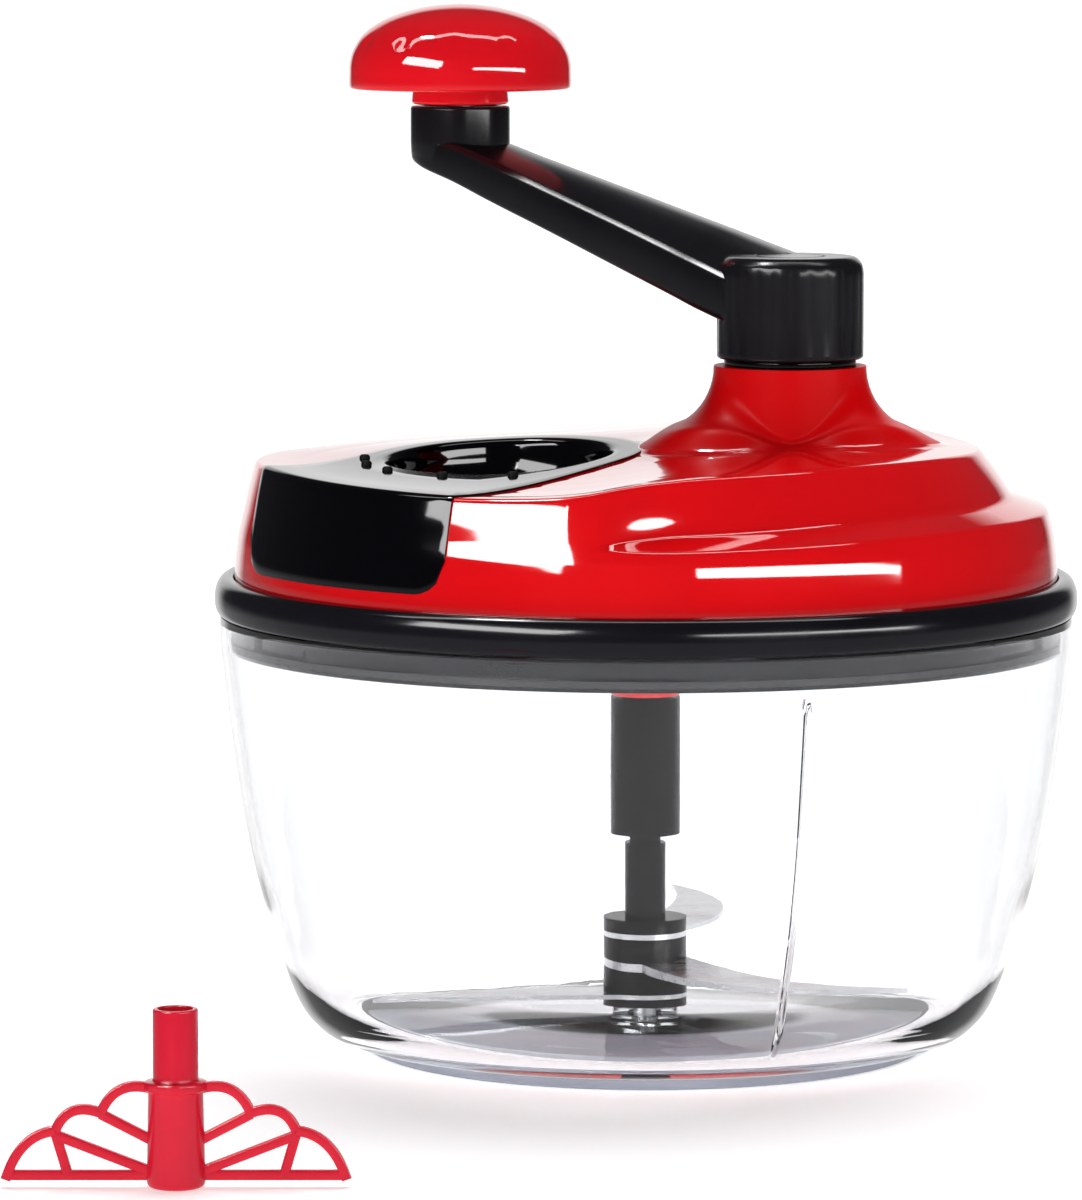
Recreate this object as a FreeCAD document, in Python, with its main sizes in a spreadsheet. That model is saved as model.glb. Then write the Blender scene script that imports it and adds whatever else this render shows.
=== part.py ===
import FreeCAD, Part
import Sketcher
import math
import os
import re

# Hand cranked food chopper, millimetres, +Z up.
# The origin is the centre of the bowl's foot. +X points to the crank, -Y is the front.

os.makedirs("parts", exist_ok=True)
doc = FreeCAD.newDocument("crank_food_chopper")
sheet = doc.addObject("Spreadsheet::Sheet", "Sizes")

sizes = {
    # bowl: the radii below the mouth are insets from it, the heights are above the table
    "mouth_radius": 91.9,
    "bowl_top": 94.0,
    "bowl_wall": 2.2,
    "bowl_floor": 3.0,
    "belly_inset": 4.7,
    "belly_height": 52.0,
    "heel_inset": 12.4,
    "heel_height": 22.0,
    "knuckle_inset": 17.0,
    "knuckle_height": 9.5,
    "floor_inset": 25.9,
    "stand_height": 3.0,
    "foot_height": 4.0,
    "foot_inset": 4.0,
    "rib_depth": 2.5,
    "rib_sweep": 1.2,
    "rib_azimuth": -69.3,
    # pivot pin in the bowl's floor
    "pin_radius": 2.5,
    "pin_height": 18.0,
    "pin_seat": 4.5,
    "boss_radius": 7.0,
    "boss_height": 3.0,
    # rim ring: bead over the bowl's lip, skirt inside the mouth, flange under the lid
    "seat_gap": 0.2,
    "rim_overhang": 1.1,
    "bead_height": 8.0,
    "bead_round": 2.4,
    "skirt_gap": 0.35,
    "skirt_wall": 1.9,
    "skirt_depth": 7.0,
    "socket_extra": 2.0,
    "flange_lift": 2.5,
    "flange_thickness": 2.0,
    "flange_shelf": 6.0,
    "window_count": 3,
    "window_width": 20.0,
    "window_height": 3.4,
    "window_azimuth": -30.0,
    "seal_width": 1.2,
    "seal_height": 1.4,
    "seal_lift": 0.9,
    "seal_reach": 0.2,
    # lid shell: a round lower tier, an upper tier set off its axis, and a neck on the crank axis
    "lid_inset": 3.2,
    "lid_gap": 0.3,
    "lid_wall": 2.4,
    "tier_foot": 3.5,
    "tier_height": 17.3,
    "tier_draft": 1.5,
    "ledge_width": 12.0,
    "ledge_rise": 3.2,
    "tier_shift": 5.0,
    "upper_inset": 9.0,
    "upper_height": 28.5,
    "upper_draft": 1.7,
    "tier_overlap": 4.0,
    "crown_rise": 3.5,
    "neck_radius": 16.75,
    "neck_height": 48.8,
    "flare_radius": 12.0,
    "flare_drop": 1.15,
    "mound_radius": 41.0,
    "mound_lift": 1.9,
    # feed chute: a throat, and a plate that runs over the lid's edge and down its side
    "throat_clearance": 2.1,
    "mouth_bore": 24.0,
    "throat_bore": 20.7,
    "chute_wall": 1.8,
    "chute_gap": 0.4,
    "plate_border": 6.0,
    "plate_length": 95.0,
    "plate_azimuth": -121.0,
    "panel_thickness": 1.2,
    "panel_lift": 7.0,
    "funnel_top": 19.5,
    "funnel_bottom": 13.5,
    "throat_drop": 6.5,
    # gear cover plate, its screws and their bosses
    "cover_thickness": 2.0,
    "cover_gap": 0.4,
    "screw_count": 5,
    "screw_inset": 14.7,
    "screw_azimuth": 36.0,
    "screw_radius": 1.5,
    "screw_length": 10.0,
    "screw_head_radius": 3.0,
    "screw_head_height": 1.6,
    "screw_clearance": 0.2,
    "lid_boss_radius": 3.5,
    # bushes
    "bush_wall": 1.9,
    "spindle_bush_wall": 1.3,
    "bush_length": 8.0,
    "bush_play": 0.06,
    "thrust_gap": 0.3,
    "boss_wall": 2.5,
    # crank shaft, a hexagon bar
    "shaft_flats": 7.0,
    "shaft_stub": 2.5,
    "shaft_top": 63.5,
    "clip_thickness": 0.8,
    "clip_groove": 2.9,
    "clip_gap": 0.2,
    "clip_slot": 3.0,
    # gears
    "gear_module": 1.0,
    "gear_teeth": 50,
    "pinion_teeth": 12,
    "gear_height": 6.0,
    "gear_addendum": 0.75,
    "pinion_addendum": 1.0,
    "gear_dedendum": 1.25,
    "gear_backlash": 0.25,
    "gear_hub_radius": 9.0,
    "gear_hub_height": 3.0,
    # drive spindle
    "column_radius": 7.5,
    "column_gap": 2.0,
    "sleeve_length": 18.5,
    "sleeve_gap": 0.5,
    "journal_radius": 5.1,
    "journal_play": 0.1,
    "pinion_flats": 5.0,
    "pinion_screw_radius": 1.5,
    "pinion_screw_head": 3.0,
    "key_flats": 5.8,
    "key_play": 0.1,
    "key_gap": 1.0,
    # blade carrier and blades
    "floor_play": 0.5,
    "bore_play": 0.1,
    "pin_tip_gap": 0.5,
    "tube_height": 34.5,
    "tube_radius": 4.4,
    "hub_height": 18.0,
    "hub_radius": 9.0,
    "hub_neck": 6.5,
    "socket_depth": 15.5,
    "blade_thickness": 1.2,
    "blade_azimuth": 200.0,
    "blade_root": 13.0,
    "blade_belly": 12.0,
    "blade_back": 0.5,
    "blade_tip": 5.0,
    "lower_level": 2.5,
    "middle_level": 8.0,
    "upper_level": 13.5,
    "lower_margin": 27.9,
    "middle_margin": 24.9,
    "upper_margin": 21.9,
    # crank arm, along its own +X from the hub to the knob
    "arm_azimuth": 140.0,
    "arm_length": 93.5,
    "washer_gap": 0.1,
    "washer_thickness": 1.5,
    "washer_radius": 14.3,
    "arm_hub_radius": 15.9,
    "arm_hub_height": 22.0,
    "arm_hub_round": 2.5,
    "arm_start": 4.0,
    "arm_start_width": 30.0,
    "arm_start_bottom": 6.5,
    "arm_start_side": 17.5,
    "arm_start_crown": 21.0,
    "arm_end_width": 21.4,
    "arm_end_bottom": 36.6,
    "arm_end_side": 44.5,
    "arm_end_crown": 46.5,
    "knob_boss_radius": 11.1,
    "knob_boss_top": 52.3,
    "cap_radius": 7.0,
    "cap_thickness": 1.6,
    "crank_screw_radius": 2.0,
    "crank_screw_head": 4.0,
    "crank_screw_head_height": 2.5,
    "crank_screw_length": 14.0,
    "recess_depth": 6.5,
    # knob, heights above the crank arm's boss
    "knob_gap": 0.15,
    "knob_neck_radius": 10.9,
    "knob_neck_height": 2.4,
    "knob_radius": 24.8,
    "knob_edge": 2.2,
    "knob_height": 22.4,
    "knob_wall": 2.2,
    "knob_base_thickness": 2.0,
    "knob_sleeve_wall": 2.4,
    "knob_sleeve_height": 11.0,
    "knob_pin_radius": 3.0,
    "knob_pin_play": 0.08,
    "knob_pin_depth": 12.0,
    "knob_pin_head": 5.0,
    "knob_pin_head_height": 2.0,
    # whisk paddle, standing in front of the bowl
    "whisk_place_x": -93.2,
    "whisk_place_y": -166.0,
    "whisk_height": 35.0,
    "whisk_hub_radius": 5.75,
    "whisk_hub_height": 19.0,
    "whisk_collar_radius": 6.1,
    "whisk_collar_height": 1.8,
    "whisk_pin_depth": 18.5,
    "bar_width": 2.0,
    "bar_depth": 2.2,
    "whisk_base": 1.4,
    "scallop_start_x": 5.2,
    "scallop_start_z": 20.2,
    "scallop_inner_x": 15.2,
    "scallop_inner_z": 15.3,
    "scallop_middle_x": 24.2,
    "scallop_middle_z": 11.5,
    "scallop_outer_x": 34.1,
    "scallop_outer_z": 3.2,
    "scallop_bulge": 1.5,
    "strut_upper_z": 8.6,
    "strut_lower_z": 2.9,
    "strut_bite": 0.8,
    "strut_lean": 3.0,
}

for row, (alias, number) in enumerate(sizes.items(), 1):
    sheet.set(f"A{row}", alias)
    sheet.set(f"B{row}", str(number))
    sheet.setAlias(f"B{row}", alias)
doc.recompute()


def bound(text):
    # the same expression with every alias read from the sheet
    return re.sub(r"[a-z_]{2,}", lambda word: f"Sizes.{word[0]}" if word[0] in sizes else word[0], text)


def value(text):
    number = sheet.evalExpression(text)
    return float(getattr(number, "Value", number))


# Heights and radii that several pieces share, all worked out from the sheet.
mouth_inner = "(mouth_radius - bowl_wall)"
floor_top = "(stand_height + bowl_floor)"
boss_top = f"({floor_top} + boss_height)"
pin_top = f"({boss_top} + pin_height)"
skirt_outer = f"({mouth_inner} - skirt_gap)"
skirt_inner = f"({skirt_outer} - skirt_wall)"
skirt_foot = "(bowl_top - skirt_depth)"
cover_top = "(bowl_top + flange_lift)"
cover_foot = f"({cover_top} - cover_thickness)"
lid_foot = f"({cover_top} + flange_thickness)"
lid_radius = "(mouth_radius - lid_inset)"
shoulder = f"({lid_foot} + tier_height)"
neck_top = f"({lid_foot} + neck_height)"
bush_top = f"({cover_top} + 2)"
bush_foot = f"({bush_top} - bush_length)"
gear_foot = f"({bush_top} + thrust_gap)"
shaft_corner = "(shaft_flats / 2 / cos(30 deg))"
shaft_bore = f"({shaft_corner} + bush_play)"
spindle_bore = "(journal_radius + journal_play)"
throat_outer = "(throat_bore + chute_wall)"
screw_circle = f"({lid_radius} - screw_inset)"
washer_foot = f"({neck_top} + washer_gap)"
hub_foot = f"({washer_foot} + washer_thickness)"
carrier_foot = f"({boss_top} + floor_play)"
tube_top = f"({carrier_foot} + tube_height)"
column_foot = f"({tube_top} + column_gap)"
sleeve_foot = f"({cover_foot} - sleeve_length)"
pinion_tip = "(gear_module * (pinion_teeth / 2 + pinion_addendum))"
crank_offset = "(gear_module * (gear_teeth + pinion_teeth) / 2)"
chute_offset = f"({throat_outer} + {pinion_tip} + throat_clearance)"
plate_radius = "(mouth_bore + plate_border)"
knob_foot = f"({hub_foot} + knob_boss_top + knob_gap)"
knob_x = f"({crank_offset} + arm_length * cos(arm_azimuth * 1 deg))"
knob_y = "(arm_length * sin(arm_azimuth * 1 deg))"


def new_body(label, x="0", y="0", z="0", turn="0"):
    body = doc.addObject("PartDesign::Body", label)
    body.Label = label
    body.Placement = FreeCAD.Placement(
        FreeCAD.Vector(value(x), value(y), value(z)),
        FreeCAD.Rotation(FreeCAD.Vector(0, 0, 1), value(turn)),
    )
    for path, text in (("x", x), ("y", y), ("z", z)):
        body.setExpression(f"Placement.Base.{path}", bound(text))
    if turn != "0":
        body.setExpression("Placement.Rotation.Angle", bound(turn))
    return body


def new_sketch(body, role, x="0", y="0", z="0"):
    # x and y lie in the sketch's plane, z runs along its normal
    plane = next(item for item in body.Origin.OriginFeatures if item.Role == role)
    sketch = body.newObject("Sketcher::SketchObject", f"{body.Label}_sketch")
    sketch.AttachmentSupport = [(plane, "")]
    sketch.MapMode = "FlatFace"
    for path, text in (("x", x), ("y", y), ("z", z)):
        if text != "0":
            sketch.setExpression(f"AttachmentOffset.Base.{path}", bound(text))
    return sketch


def fix_point(sketch, geometry, end, x, y):
    for kind, text in (("DistanceX", x), ("DistanceY", y)):
        constraint = Sketcher.Constraint(kind, -1, 1, geometry, end, value(text))
        index = sketch.addConstraint(constraint)
        sketch.setExpression(f"Constraints[{index}]", bound(text))


def outline(sketch, points):
    # a closed outline of (x, y) corners; ("arc", x, y, x, y) is an arc through the first pair
    # an outline that closes with an arc names its first corner again
    if points[-1][-2:] == points[0][-2:]:
        points = points[-1:] + points[1:-1]
    edges = []
    for index, point in enumerate(points):
        start = FreeCAD.Vector(value(point[-2]), value(point[-1]))
        target = points[(index + 1) % len(points)]
        finish = FreeCAD.Vector(value(target[-2]), value(target[-1]))
        if target[0] != "arc":
            edges.append((sketch.addGeometry(Part.LineSegment(start, finish)), 1, 2))
            continue
        middle = FreeCAD.Vector(value(target[1]), value(target[2]))
        arc = sketch.addGeometry(Part.Arc(start, middle, finish))
        near = 1 if (sketch.getPoint(arc, 1) - start).Length < 1e-6 else 2
        guide = sketch.addGeometry(Part.Point(middle), True)
        fix_point(sketch, guide, 1, target[1], target[2])
        sketch.addConstraint(Sketcher.Constraint("PointOnObject", guide, 1, arc))
        edges.append((arc, near, 3 - near))
    for index, (edge, near, far) in enumerate(edges):
        following, joint, _ = edges[(index + 1) % len(edges)]
        sketch.addConstraint(Sketcher.Constraint("Coincident", edge, far, following, joint))
        fix_point(sketch, edge, near, points[index][-2], points[index][-1])


def circle(sketch, x, y, radius):
    centre = FreeCAD.Vector(value(x), value(y))
    up = FreeCAD.Vector(0, 0, 1)
    index = sketch.addGeometry(Part.Circle(centre, up, value(radius)))
    fix_point(sketch, index, 3, x, y)
    size = sketch.addConstraint(Sketcher.Constraint("Radius", index, value(radius)))
    sketch.setExpression(f"Constraints[{size}]", bound(radius))


def hexagon(sketch, flats, turn="0"):
    corner = f"({flats}) / 2 / cos(30 deg)"
    angles = [f"({60 * k} + {turn}) * 1 deg" for k in range(6)]
    outline(sketch, [(f"{corner} * cos({angle})", f"{corner} * sin({angle})") for angle in angles])


def feature(body, kind, sketch):
    made = body.newObject(f"PartDesign::{kind}", f"{body.Label}_{kind.lower()}")
    made.Profile = sketch
    sketch.Visibility = False
    return made


def turned(body, points, x="0", y="0", cut=False, sweep="360"):
    # turns an outline of (radius, height) corners about the vertical axis through x and y
    sketch = new_sketch(body, "XZ_Plane", x=x, z=f"-({y})" if y != "0" else "0")
    outline(sketch, points)
    made = feature(body, "Groove" if cut else "Revolution", sketch)
    made.ReferenceAxis = (sketch, ["V_Axis"])
    made.setExpression("Angle", bound(sweep))
    return made


def raised(body, draw, foot, height):
    # a pad from the height foot upwards; draw fills its sketch
    sketch = new_sketch(body, "XY_Plane", z=foot)
    draw(sketch)
    made = feature(body, "Pad", sketch)
    made.setExpression("Length", bound(height))
    return made


def sunk(body, draw, top, depth):
    # a pocket from the height top downwards; draw fills its sketch
    sketch = new_sketch(body, "XY_Plane", z=top)
    draw(sketch)
    made = feature(body, "Pocket", sketch)
    made.setExpression("Length", bound(depth))
    return made


def around(body, features, count):
    made = body.newObject("PartDesign::PolarPattern", f"{body.Label}_pattern")
    made.Originals = features
    made.Axis = (features[0].Profile[0], ["N_Axis"])
    made.Angle = 360
    made.setExpression("Occurrences", bound(count))
    body.Tip = made
    return made


def ring(inner, outer, foot, top):
    return [(inner, foot), (outer, foot), (outer, top), (inner, top)]


def combined(kind, label, base, tool):
    made = doc.addObject(f"Part::{kind}", label)
    made.Label = label
    made.Base = base
    made.Tool = tool
    return made


def fused(label, shapes):
    made = doc.addObject("Part::MultiFuse", label)
    made.Label = label
    made.Shapes = shapes
    return made


def make_bowl():
    body = new_body("bowl", turn="rib_azimuth")
    wall = [
        ("arc", "mouth_radius - knuckle_inset", "knuckle_height", "mouth_radius - heel_inset", "heel_height"),
        ("arc", "mouth_radius - belly_inset", "belly_height", "mouth_radius", "bowl_top"),
    ]
    inside = [
        (mouth_inner, "bowl_top"),
        ("arc", f"{mouth_inner} - belly_inset", "belly_height", f"{mouth_inner} - heel_inset", "heel_height"),
        (
            "arc",
            f"{mouth_inner} - knuckle_inset",
            "knuckle_height + bowl_floor / 2",
            "mouth_radius - floor_inset",
            floor_top,
        ),
    ]
    middle = [
        ("boss_radius", floor_top),
        ("boss_radius", boss_top),
        ("pin_radius", boss_top),
        ("pin_radius", "pin_seat"),
        ("0", "pin_seat"),
    ]
    foot = [("0", "stand_height"), ("mouth_radius - floor_inset", "stand_height")]
    turned(body, foot + wall + inside + middle)
    rib_inner = f"({mouth_inner} - rib_depth)"
    rib_outer = "(mouth_radius - bowl_wall / 2)"
    rib = [
        (f"{rib_inner} - heel_inset", "heel_height"),
        (f"{rib_outer} - heel_inset", "heel_height"),
        ("arc", f"{rib_outer} - belly_inset", "belly_height", rib_outer, "bowl_top"),
        (rib_inner, "bowl_top"),
        ("arc", f"{rib_inner} - belly_inset", "belly_height", f"{rib_inner} - heel_inset", "heel_height"),
    ]
    turned(body, rib, sweep="rib_sweep")
    socket_foot = f"{skirt_foot} - socket_extra"
    turned(body, ring(f"{mouth_inner} - 2 * rib_depth", mouth_inner, socket_foot, "bowl_top"), cut=True)
    foot_radius = "(mouth_radius - floor_inset - foot_inset)"
    turned(body, ring("0", foot_radius, "stand_height", "foot_height"), cut=True)
    pad = new_body("foot_pad")
    turned(pad, ring("0", foot_radius, "0", "foot_height"))
    pin = new_body("pivot_pin")
    turned(pin, ring("0", "pin_radius", "pin_seat", pin_top))
    return [body, pad, pin]


def make_rim_ring():
    body = new_body("rim_ring", turn="window_azimuth")
    bead_foot = "(bowl_top + seat_gap)"
    bead_top = f"({bead_foot} + bead_height)"
    rim_radius = "(mouth_radius + rim_overhang)"
    pocket = f"({lid_radius} + lid_gap)"
    shelf = f"({lid_radius} - lid_wall - flange_shelf)"
    bend = "bead_round * (1 - cos(45 deg))"
    turned(body, [
        (skirt_inner, skirt_foot),
        (skirt_outer, skirt_foot),
        (skirt_outer, bead_foot),
        (f"{rim_radius} - bead_round", bead_foot),
        ("arc", f"{rim_radius} - {bend}", f"{bead_foot} + {bend}", rim_radius, f"{bead_foot} + bead_round"),
        (rim_radius, f"{bead_top} - bead_round"),
        ("arc", f"{rim_radius} - {bend}", f"{bead_top} - {bend}", f"{rim_radius} - bead_round", bead_top),
        (pocket, bead_top),
        (pocket, lid_foot),
        (shelf, lid_foot),
        (shelf, cover_top),
        (skirt_inner, cover_top),
    ])
    seal_foot = f"({skirt_foot} + seal_lift)"
    seal_top = f"({seal_foot} + seal_height)"
    seal_inner = f"({skirt_outer} - seal_width)"
    turned(body, ring(seal_inner, skirt_outer, seal_foot, seal_top), cut=True)
    window = sunk(body, lambda sketch: outline(sketch, [
        (f"{skirt_inner} - skirt_wall", "-window_width / 2"),
        ("mouth_radius", "-window_width / 2"),
        ("mouth_radius", "window_width / 2"),
        (f"{skirt_inner} - skirt_wall", "window_width / 2"),
    ]), f"{seal_top} + seal_lift + window_height", "window_height")
    around(body, [window], "window_count")
    seal = new_body("skirt_seal")
    turned(seal, ring(seal_inner, f"{skirt_outer} + seal_reach", seal_foot, seal_top))
    return [body, seal]


def lid_form(label, inset):
    # the lid's outer surface as a solid, moved inwards by the inset
    body = new_body(label)
    turned(body, [
        ("0", f"{lid_foot} - {inset}"),
        (f"{lid_radius} - {inset}", f"{lid_foot} - {inset}"),
        (f"{lid_radius} - {inset}", f"{lid_foot} + tier_foot"),
        (f"{lid_radius} - tier_draft - {inset}", f"{shoulder} - {inset}"),
        (f"{lid_radius} - ledge_width - {inset}", f"{shoulder} + ledge_rise - {inset}"),
        ("0", f"{shoulder} + ledge_rise - {inset}"),
    ])
    upper = f"({lid_radius} - upper_inset)"
    turned(body, [
        ("0", f"{shoulder} - tier_overlap"),
        (f"{upper} - {inset}", f"{shoulder} - tier_overlap"),
        (f"{upper} - {inset}", shoulder),
        (f"{upper} - upper_draft - {inset}", f"{lid_foot} + upper_height - {inset}"),
        ("0", f"{lid_foot} + upper_height + crown_rise - {inset}"),
    ], x="-tier_shift", y="-tier_shift")
    flare_centre = "(neck_radius + flare_radius)"
    flare_level = f"({neck_top} - flare_drop)"
    bend = "flare_radius * cos(45 deg)"
    turned(body, [
        ("0", f"{lid_foot} + upper_height - tier_overlap"),
        (f"mound_radius - {inset}", f"{lid_foot} + upper_height - tier_overlap"),
        (f"mound_radius - {inset}", f"{lid_foot} + upper_height + mound_lift - {inset}"),
        (f"{flare_centre} - {inset}", f"{flare_level} - flare_radius - {inset}"),
        (
            "arc",
            f"{flare_centre} - {bend} - {inset}",
            f"{flare_level} - {bend} - {inset}",
            f"neck_radius - {inset}",
            f"{flare_level} - {inset}",
        ),
        (f"neck_radius - {inset}", f"{neck_top} - {inset}"),
        ("0", f"{neck_top} - {inset}"),
    ], x=crank_offset)
    return body


def plate_outline(sketch, radius):
    # a round end about the chute's axis, and two parallel sides that run along +X
    outline(sketch, [
        ("0", radius),
        ("arc", f"-({radius})", "0", "0", f"-({radius})"),
        ("plate_length", f"-({radius})"),
        ("plate_length", radius),
    ])


def make_lid():
    outside = lid_form("lid_outside", "0")
    under_panel = lid_form("lid_under_panel", "panel_thickness")
    inside = lid_form("lid_inside", "lid_wall")

    bosses = new_body("lid_bosses")
    boss = raised(
        bosses,
        lambda sketch: circle(
            sketch,
            f"{screw_circle} * cos(screw_azimuth * 1 deg)",
            f"{screw_circle} * sin(screw_azimuth * 1 deg)",
            "lid_boss_radius",
        ),
        cover_top,
        "neck_height",
    )
    around(bosses, [boss], "screw_count")
    core = new_body("neck_core")
    core_foot = f"{neck_top} - bush_length"
    raised(core, lambda sketch: circle(sketch, crank_offset, "0", "neck_radius"), core_foot, "bush_length")
    void = combined("Cut", "lid_void_bossed", inside, bosses)
    void = combined("Cut", "lid_void", void, core)

    panel_foot = f"({lid_foot} + panel_lift)"
    recess = new_body("plate_recess", x=f"-{chute_offset}", turn="plate_azimuth")
    recess_foot = f"{panel_foot} - chute_gap"
    raised(recess, lambda sketch: plate_outline(sketch, f"{plate_radius} + chute_gap"), recess_foot, "neck_height")
    recess = combined("Cut", "plate_recess_skin", recess, under_panel)
    hole = new_body("chute_hole")
    hole_radius = "mouth_bore + chute_wall + chute_gap"
    raised(hole, lambda sketch: circle(sketch, f"-{chute_offset}", "0", hole_radius), shoulder, "neck_height")
    bore = new_body("neck_bore")
    raised(bore, lambda sketch: circle(sketch, crank_offset, "0", f"{shaft_bore} + bush_wall"), shoulder,
           "neck_height")
    pilots = new_body("screw_pilots")
    pilot = raised(
        pilots,
        lambda sketch: circle(
            sketch,
            f"{screw_circle} * cos(screw_azimuth * 1 deg)",
            f"{screw_circle} * sin(screw_azimuth * 1 deg)",
            "screw_radius",
        ),
        f"{cover_top} - 1",
        "screw_length",
    )
    around(pilots, [pilot], "screw_count")
    openings = fused("lid_openings", [void, recess, hole, bore, pilots])
    shell = combined("Cut", "lid_shell", outside, openings)

    skin = combined("Cut", "lid_skin", outside, under_panel)
    blank = new_body("plate_blank", x=f"-{chute_offset}", turn="plate_azimuth")
    raised(blank, lambda sketch: plate_outline(sketch, plate_radius), panel_foot, "neck_height")
    plate = combined("Common", "chute_plate", skin, blank)
    eye = new_body("plate_eye")
    raised(eye, lambda sketch: circle(sketch, f"-{chute_offset}", "0", "mouth_bore"), shoulder, "neck_height")
    plate = combined("Cut", "chute_plate_pierced", plate, eye)
    throat = new_body("throat")
    turned(throat, [
        ("throat_bore", f"{cover_foot} - throat_drop"),
        (throat_outer, f"{cover_foot} - throat_drop"),
        (throat_outer, f"{lid_foot} + funnel_bottom"),
        ("mouth_bore + chute_wall", f"{lid_foot} + funnel_top"),
        ("mouth_bore + chute_wall", neck_top),
        ("mouth_bore", neck_top),
        ("mouth_bore", f"{lid_foot} + funnel_top"),
        ("throat_bore", f"{lid_foot} + funnel_bottom"),
    ], x=f"-{chute_offset}")
    reach = new_body("throat_reach")
    raised(reach, lambda sketch: circle(sketch, f"-{chute_offset}", "0", "mouth_bore + 2 * chute_wall"),
           f"{cover_foot} - 2 * throat_drop", f"{shoulder} - {cover_foot} + 2 * throat_drop")
    limit = fused("throat_limit", [outside, reach])
    throat = combined("Common", "throat_trimmed", throat, limit)
    chute = fused("feed_chute", [plate, throat])
    return [shell, chute]


def make_cover_plate():
    body = new_body("gear_cover_plate")
    sleeve_bore = f"({spindle_bore} + bore_play)"
    socket = f"({spindle_bore} + spindle_bush_wall)"
    turned(body, [
        (sleeve_bore, sleeve_foot),
        ("column_radius", sleeve_foot),
        ("column_radius", f"{bush_foot} - boss_wall"),
        (f"{socket} + boss_wall", bush_foot),
        (f"{socket} + boss_wall", cover_foot),
        (f"{skirt_inner} - cover_gap", cover_foot),
        (f"{skirt_inner} - cover_gap", cover_top),
        (socket, cover_top),
        (socket, bush_foot),
        (sleeve_bore, bush_foot),
    ])
    bush_outer = f"({shaft_bore} + bush_wall)"
    turned(body, ring("0", f"{bush_outer} + boss_wall", bush_foot, cover_top), x=crank_offset)
    sunk(body, lambda sketch: circle(sketch, crank_offset, "0", bush_outer), cover_top, "bush_length")
    sunk(body, lambda sketch: circle(sketch, f"-{chute_offset}", "0", f"{throat_outer} + chute_gap"),
         cover_top, "cover_thickness")
    screw_hole = sunk(
        body,
        lambda sketch: circle(
            sketch,
            f"{screw_circle} * cos(screw_azimuth * 1 deg)",
            f"{screw_circle} * sin(screw_azimuth * 1 deg)",
            "screw_radius + screw_clearance",
        ),
        cover_top,
        "cover_thickness",
    )
    around(body, [screw_hole], "screw_count")
    lower = new_body("lower_bush")
    turned(lower, ring(shaft_bore, bush_outer, bush_foot, bush_top), x=crank_offset)
    upper = new_body("upper_bush")
    turned(upper, ring(shaft_bore, bush_outer, f"{neck_top} - bush_length", neck_top), x=crank_offset)
    spindle = new_body("spindle_bush")
    turned(spindle, ring(spindle_bore, socket, bush_foot, bush_top))
    return [body, lower, upper, spindle]


def make_plate_screws():
    body = new_body("plate_screws")
    screw = turned(body, [
        ("0", f"{cover_foot} - screw_head_height"),
        ("screw_head_radius", f"{cover_foot} - screw_head_height"),
        ("screw_head_radius", cover_foot),
        ("screw_radius", cover_foot),
        ("screw_radius", f"{cover_foot} + screw_length"),
        ("0", f"{cover_foot} + screw_length"),
    ], x=f"{screw_circle} * cos(screw_azimuth * 1 deg)", y=f"{screw_circle} * sin(screw_azimuth * 1 deg)")
    pattern = body.newObject("PartDesign::PolarPattern", "plate_screws_pattern")
    pattern.Originals = [screw]
    axis = next(item for item in body.Origin.OriginFeatures if item.Role == "Z_Axis")
    pattern.Axis = (axis, [""])
    pattern.Angle = 360
    pattern.setExpression("Occurrences", bound("screw_count"))
    body.Tip = pattern
    return [body]


def involute(angle):
    return math.tan(angle) - angle


def gear_face(teeth, addendum):
    # an involute gear's outline as a flat face, its first tooth along +X
    module = value("gear_module")
    pressure = math.radians(20)
    pitch = module * teeth / 2
    base = pitch * math.cos(pressure)
    tip = pitch + module * addendum
    root = pitch - module * value("gear_dedendum")
    half = math.pi / 2 / teeth - value("gear_backlash") / 4 / pitch + involute(pressure)
    start = max(base, root)

    def flank(radius, side, centre):
        lean = half - involute(math.acos(base / radius))
        angle = centre + side * lean
        return FreeCAD.Vector(radius * math.cos(angle), radius * math.sin(angle), 0)

    edges = []
    for tooth in range(teeth):
        centre = 2 * math.pi * tooth / teeth
        following = centre + 2 * math.pi / teeth
        middle = (start + tip) / 2
        low = [flank(start, side, centre) for side in (-1, 1)]
        high = [flank(tip, side, centre) for side in (-1, 1)]
        top = FreeCAD.Vector(tip * math.cos(centre), tip * math.sin(centre), 0)
        edges.append(Part.Arc(low[0], flank(middle, -1, centre), high[0]).toShape())
        edges.append(Part.Arc(high[0], top, high[1]).toShape())
        edges.append(Part.Arc(high[1], flank(middle, 1, centre), low[1]).toShape())
        bottom = [low[1] * (root / start), flank(start, -1, following) * (root / start)]
        if start > root:
            edges.append(Part.LineSegment(low[1], bottom[0]).toShape())
        edges.append(Part.LineSegment(bottom[0], bottom[1]).toShape())
        if start > root:
            edges.append(Part.LineSegment(bottom[1], flank(start, -1, following)).toShape())
    return Part.Face(Part.Wire(edges))


def hexagon_bar(flats, height, turn=0.0):
    corner = flats / 2 / math.cos(math.radians(30))
    points = []
    for k in range(7):
        angle = math.radians(60 * k + turn)
        points.append(FreeCAD.Vector(corner * math.cos(angle), corner * math.sin(angle), 0))
    return Part.Face(Part.makePolygon(points)).extrude(FreeCAD.Vector(0, 0, height))


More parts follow.
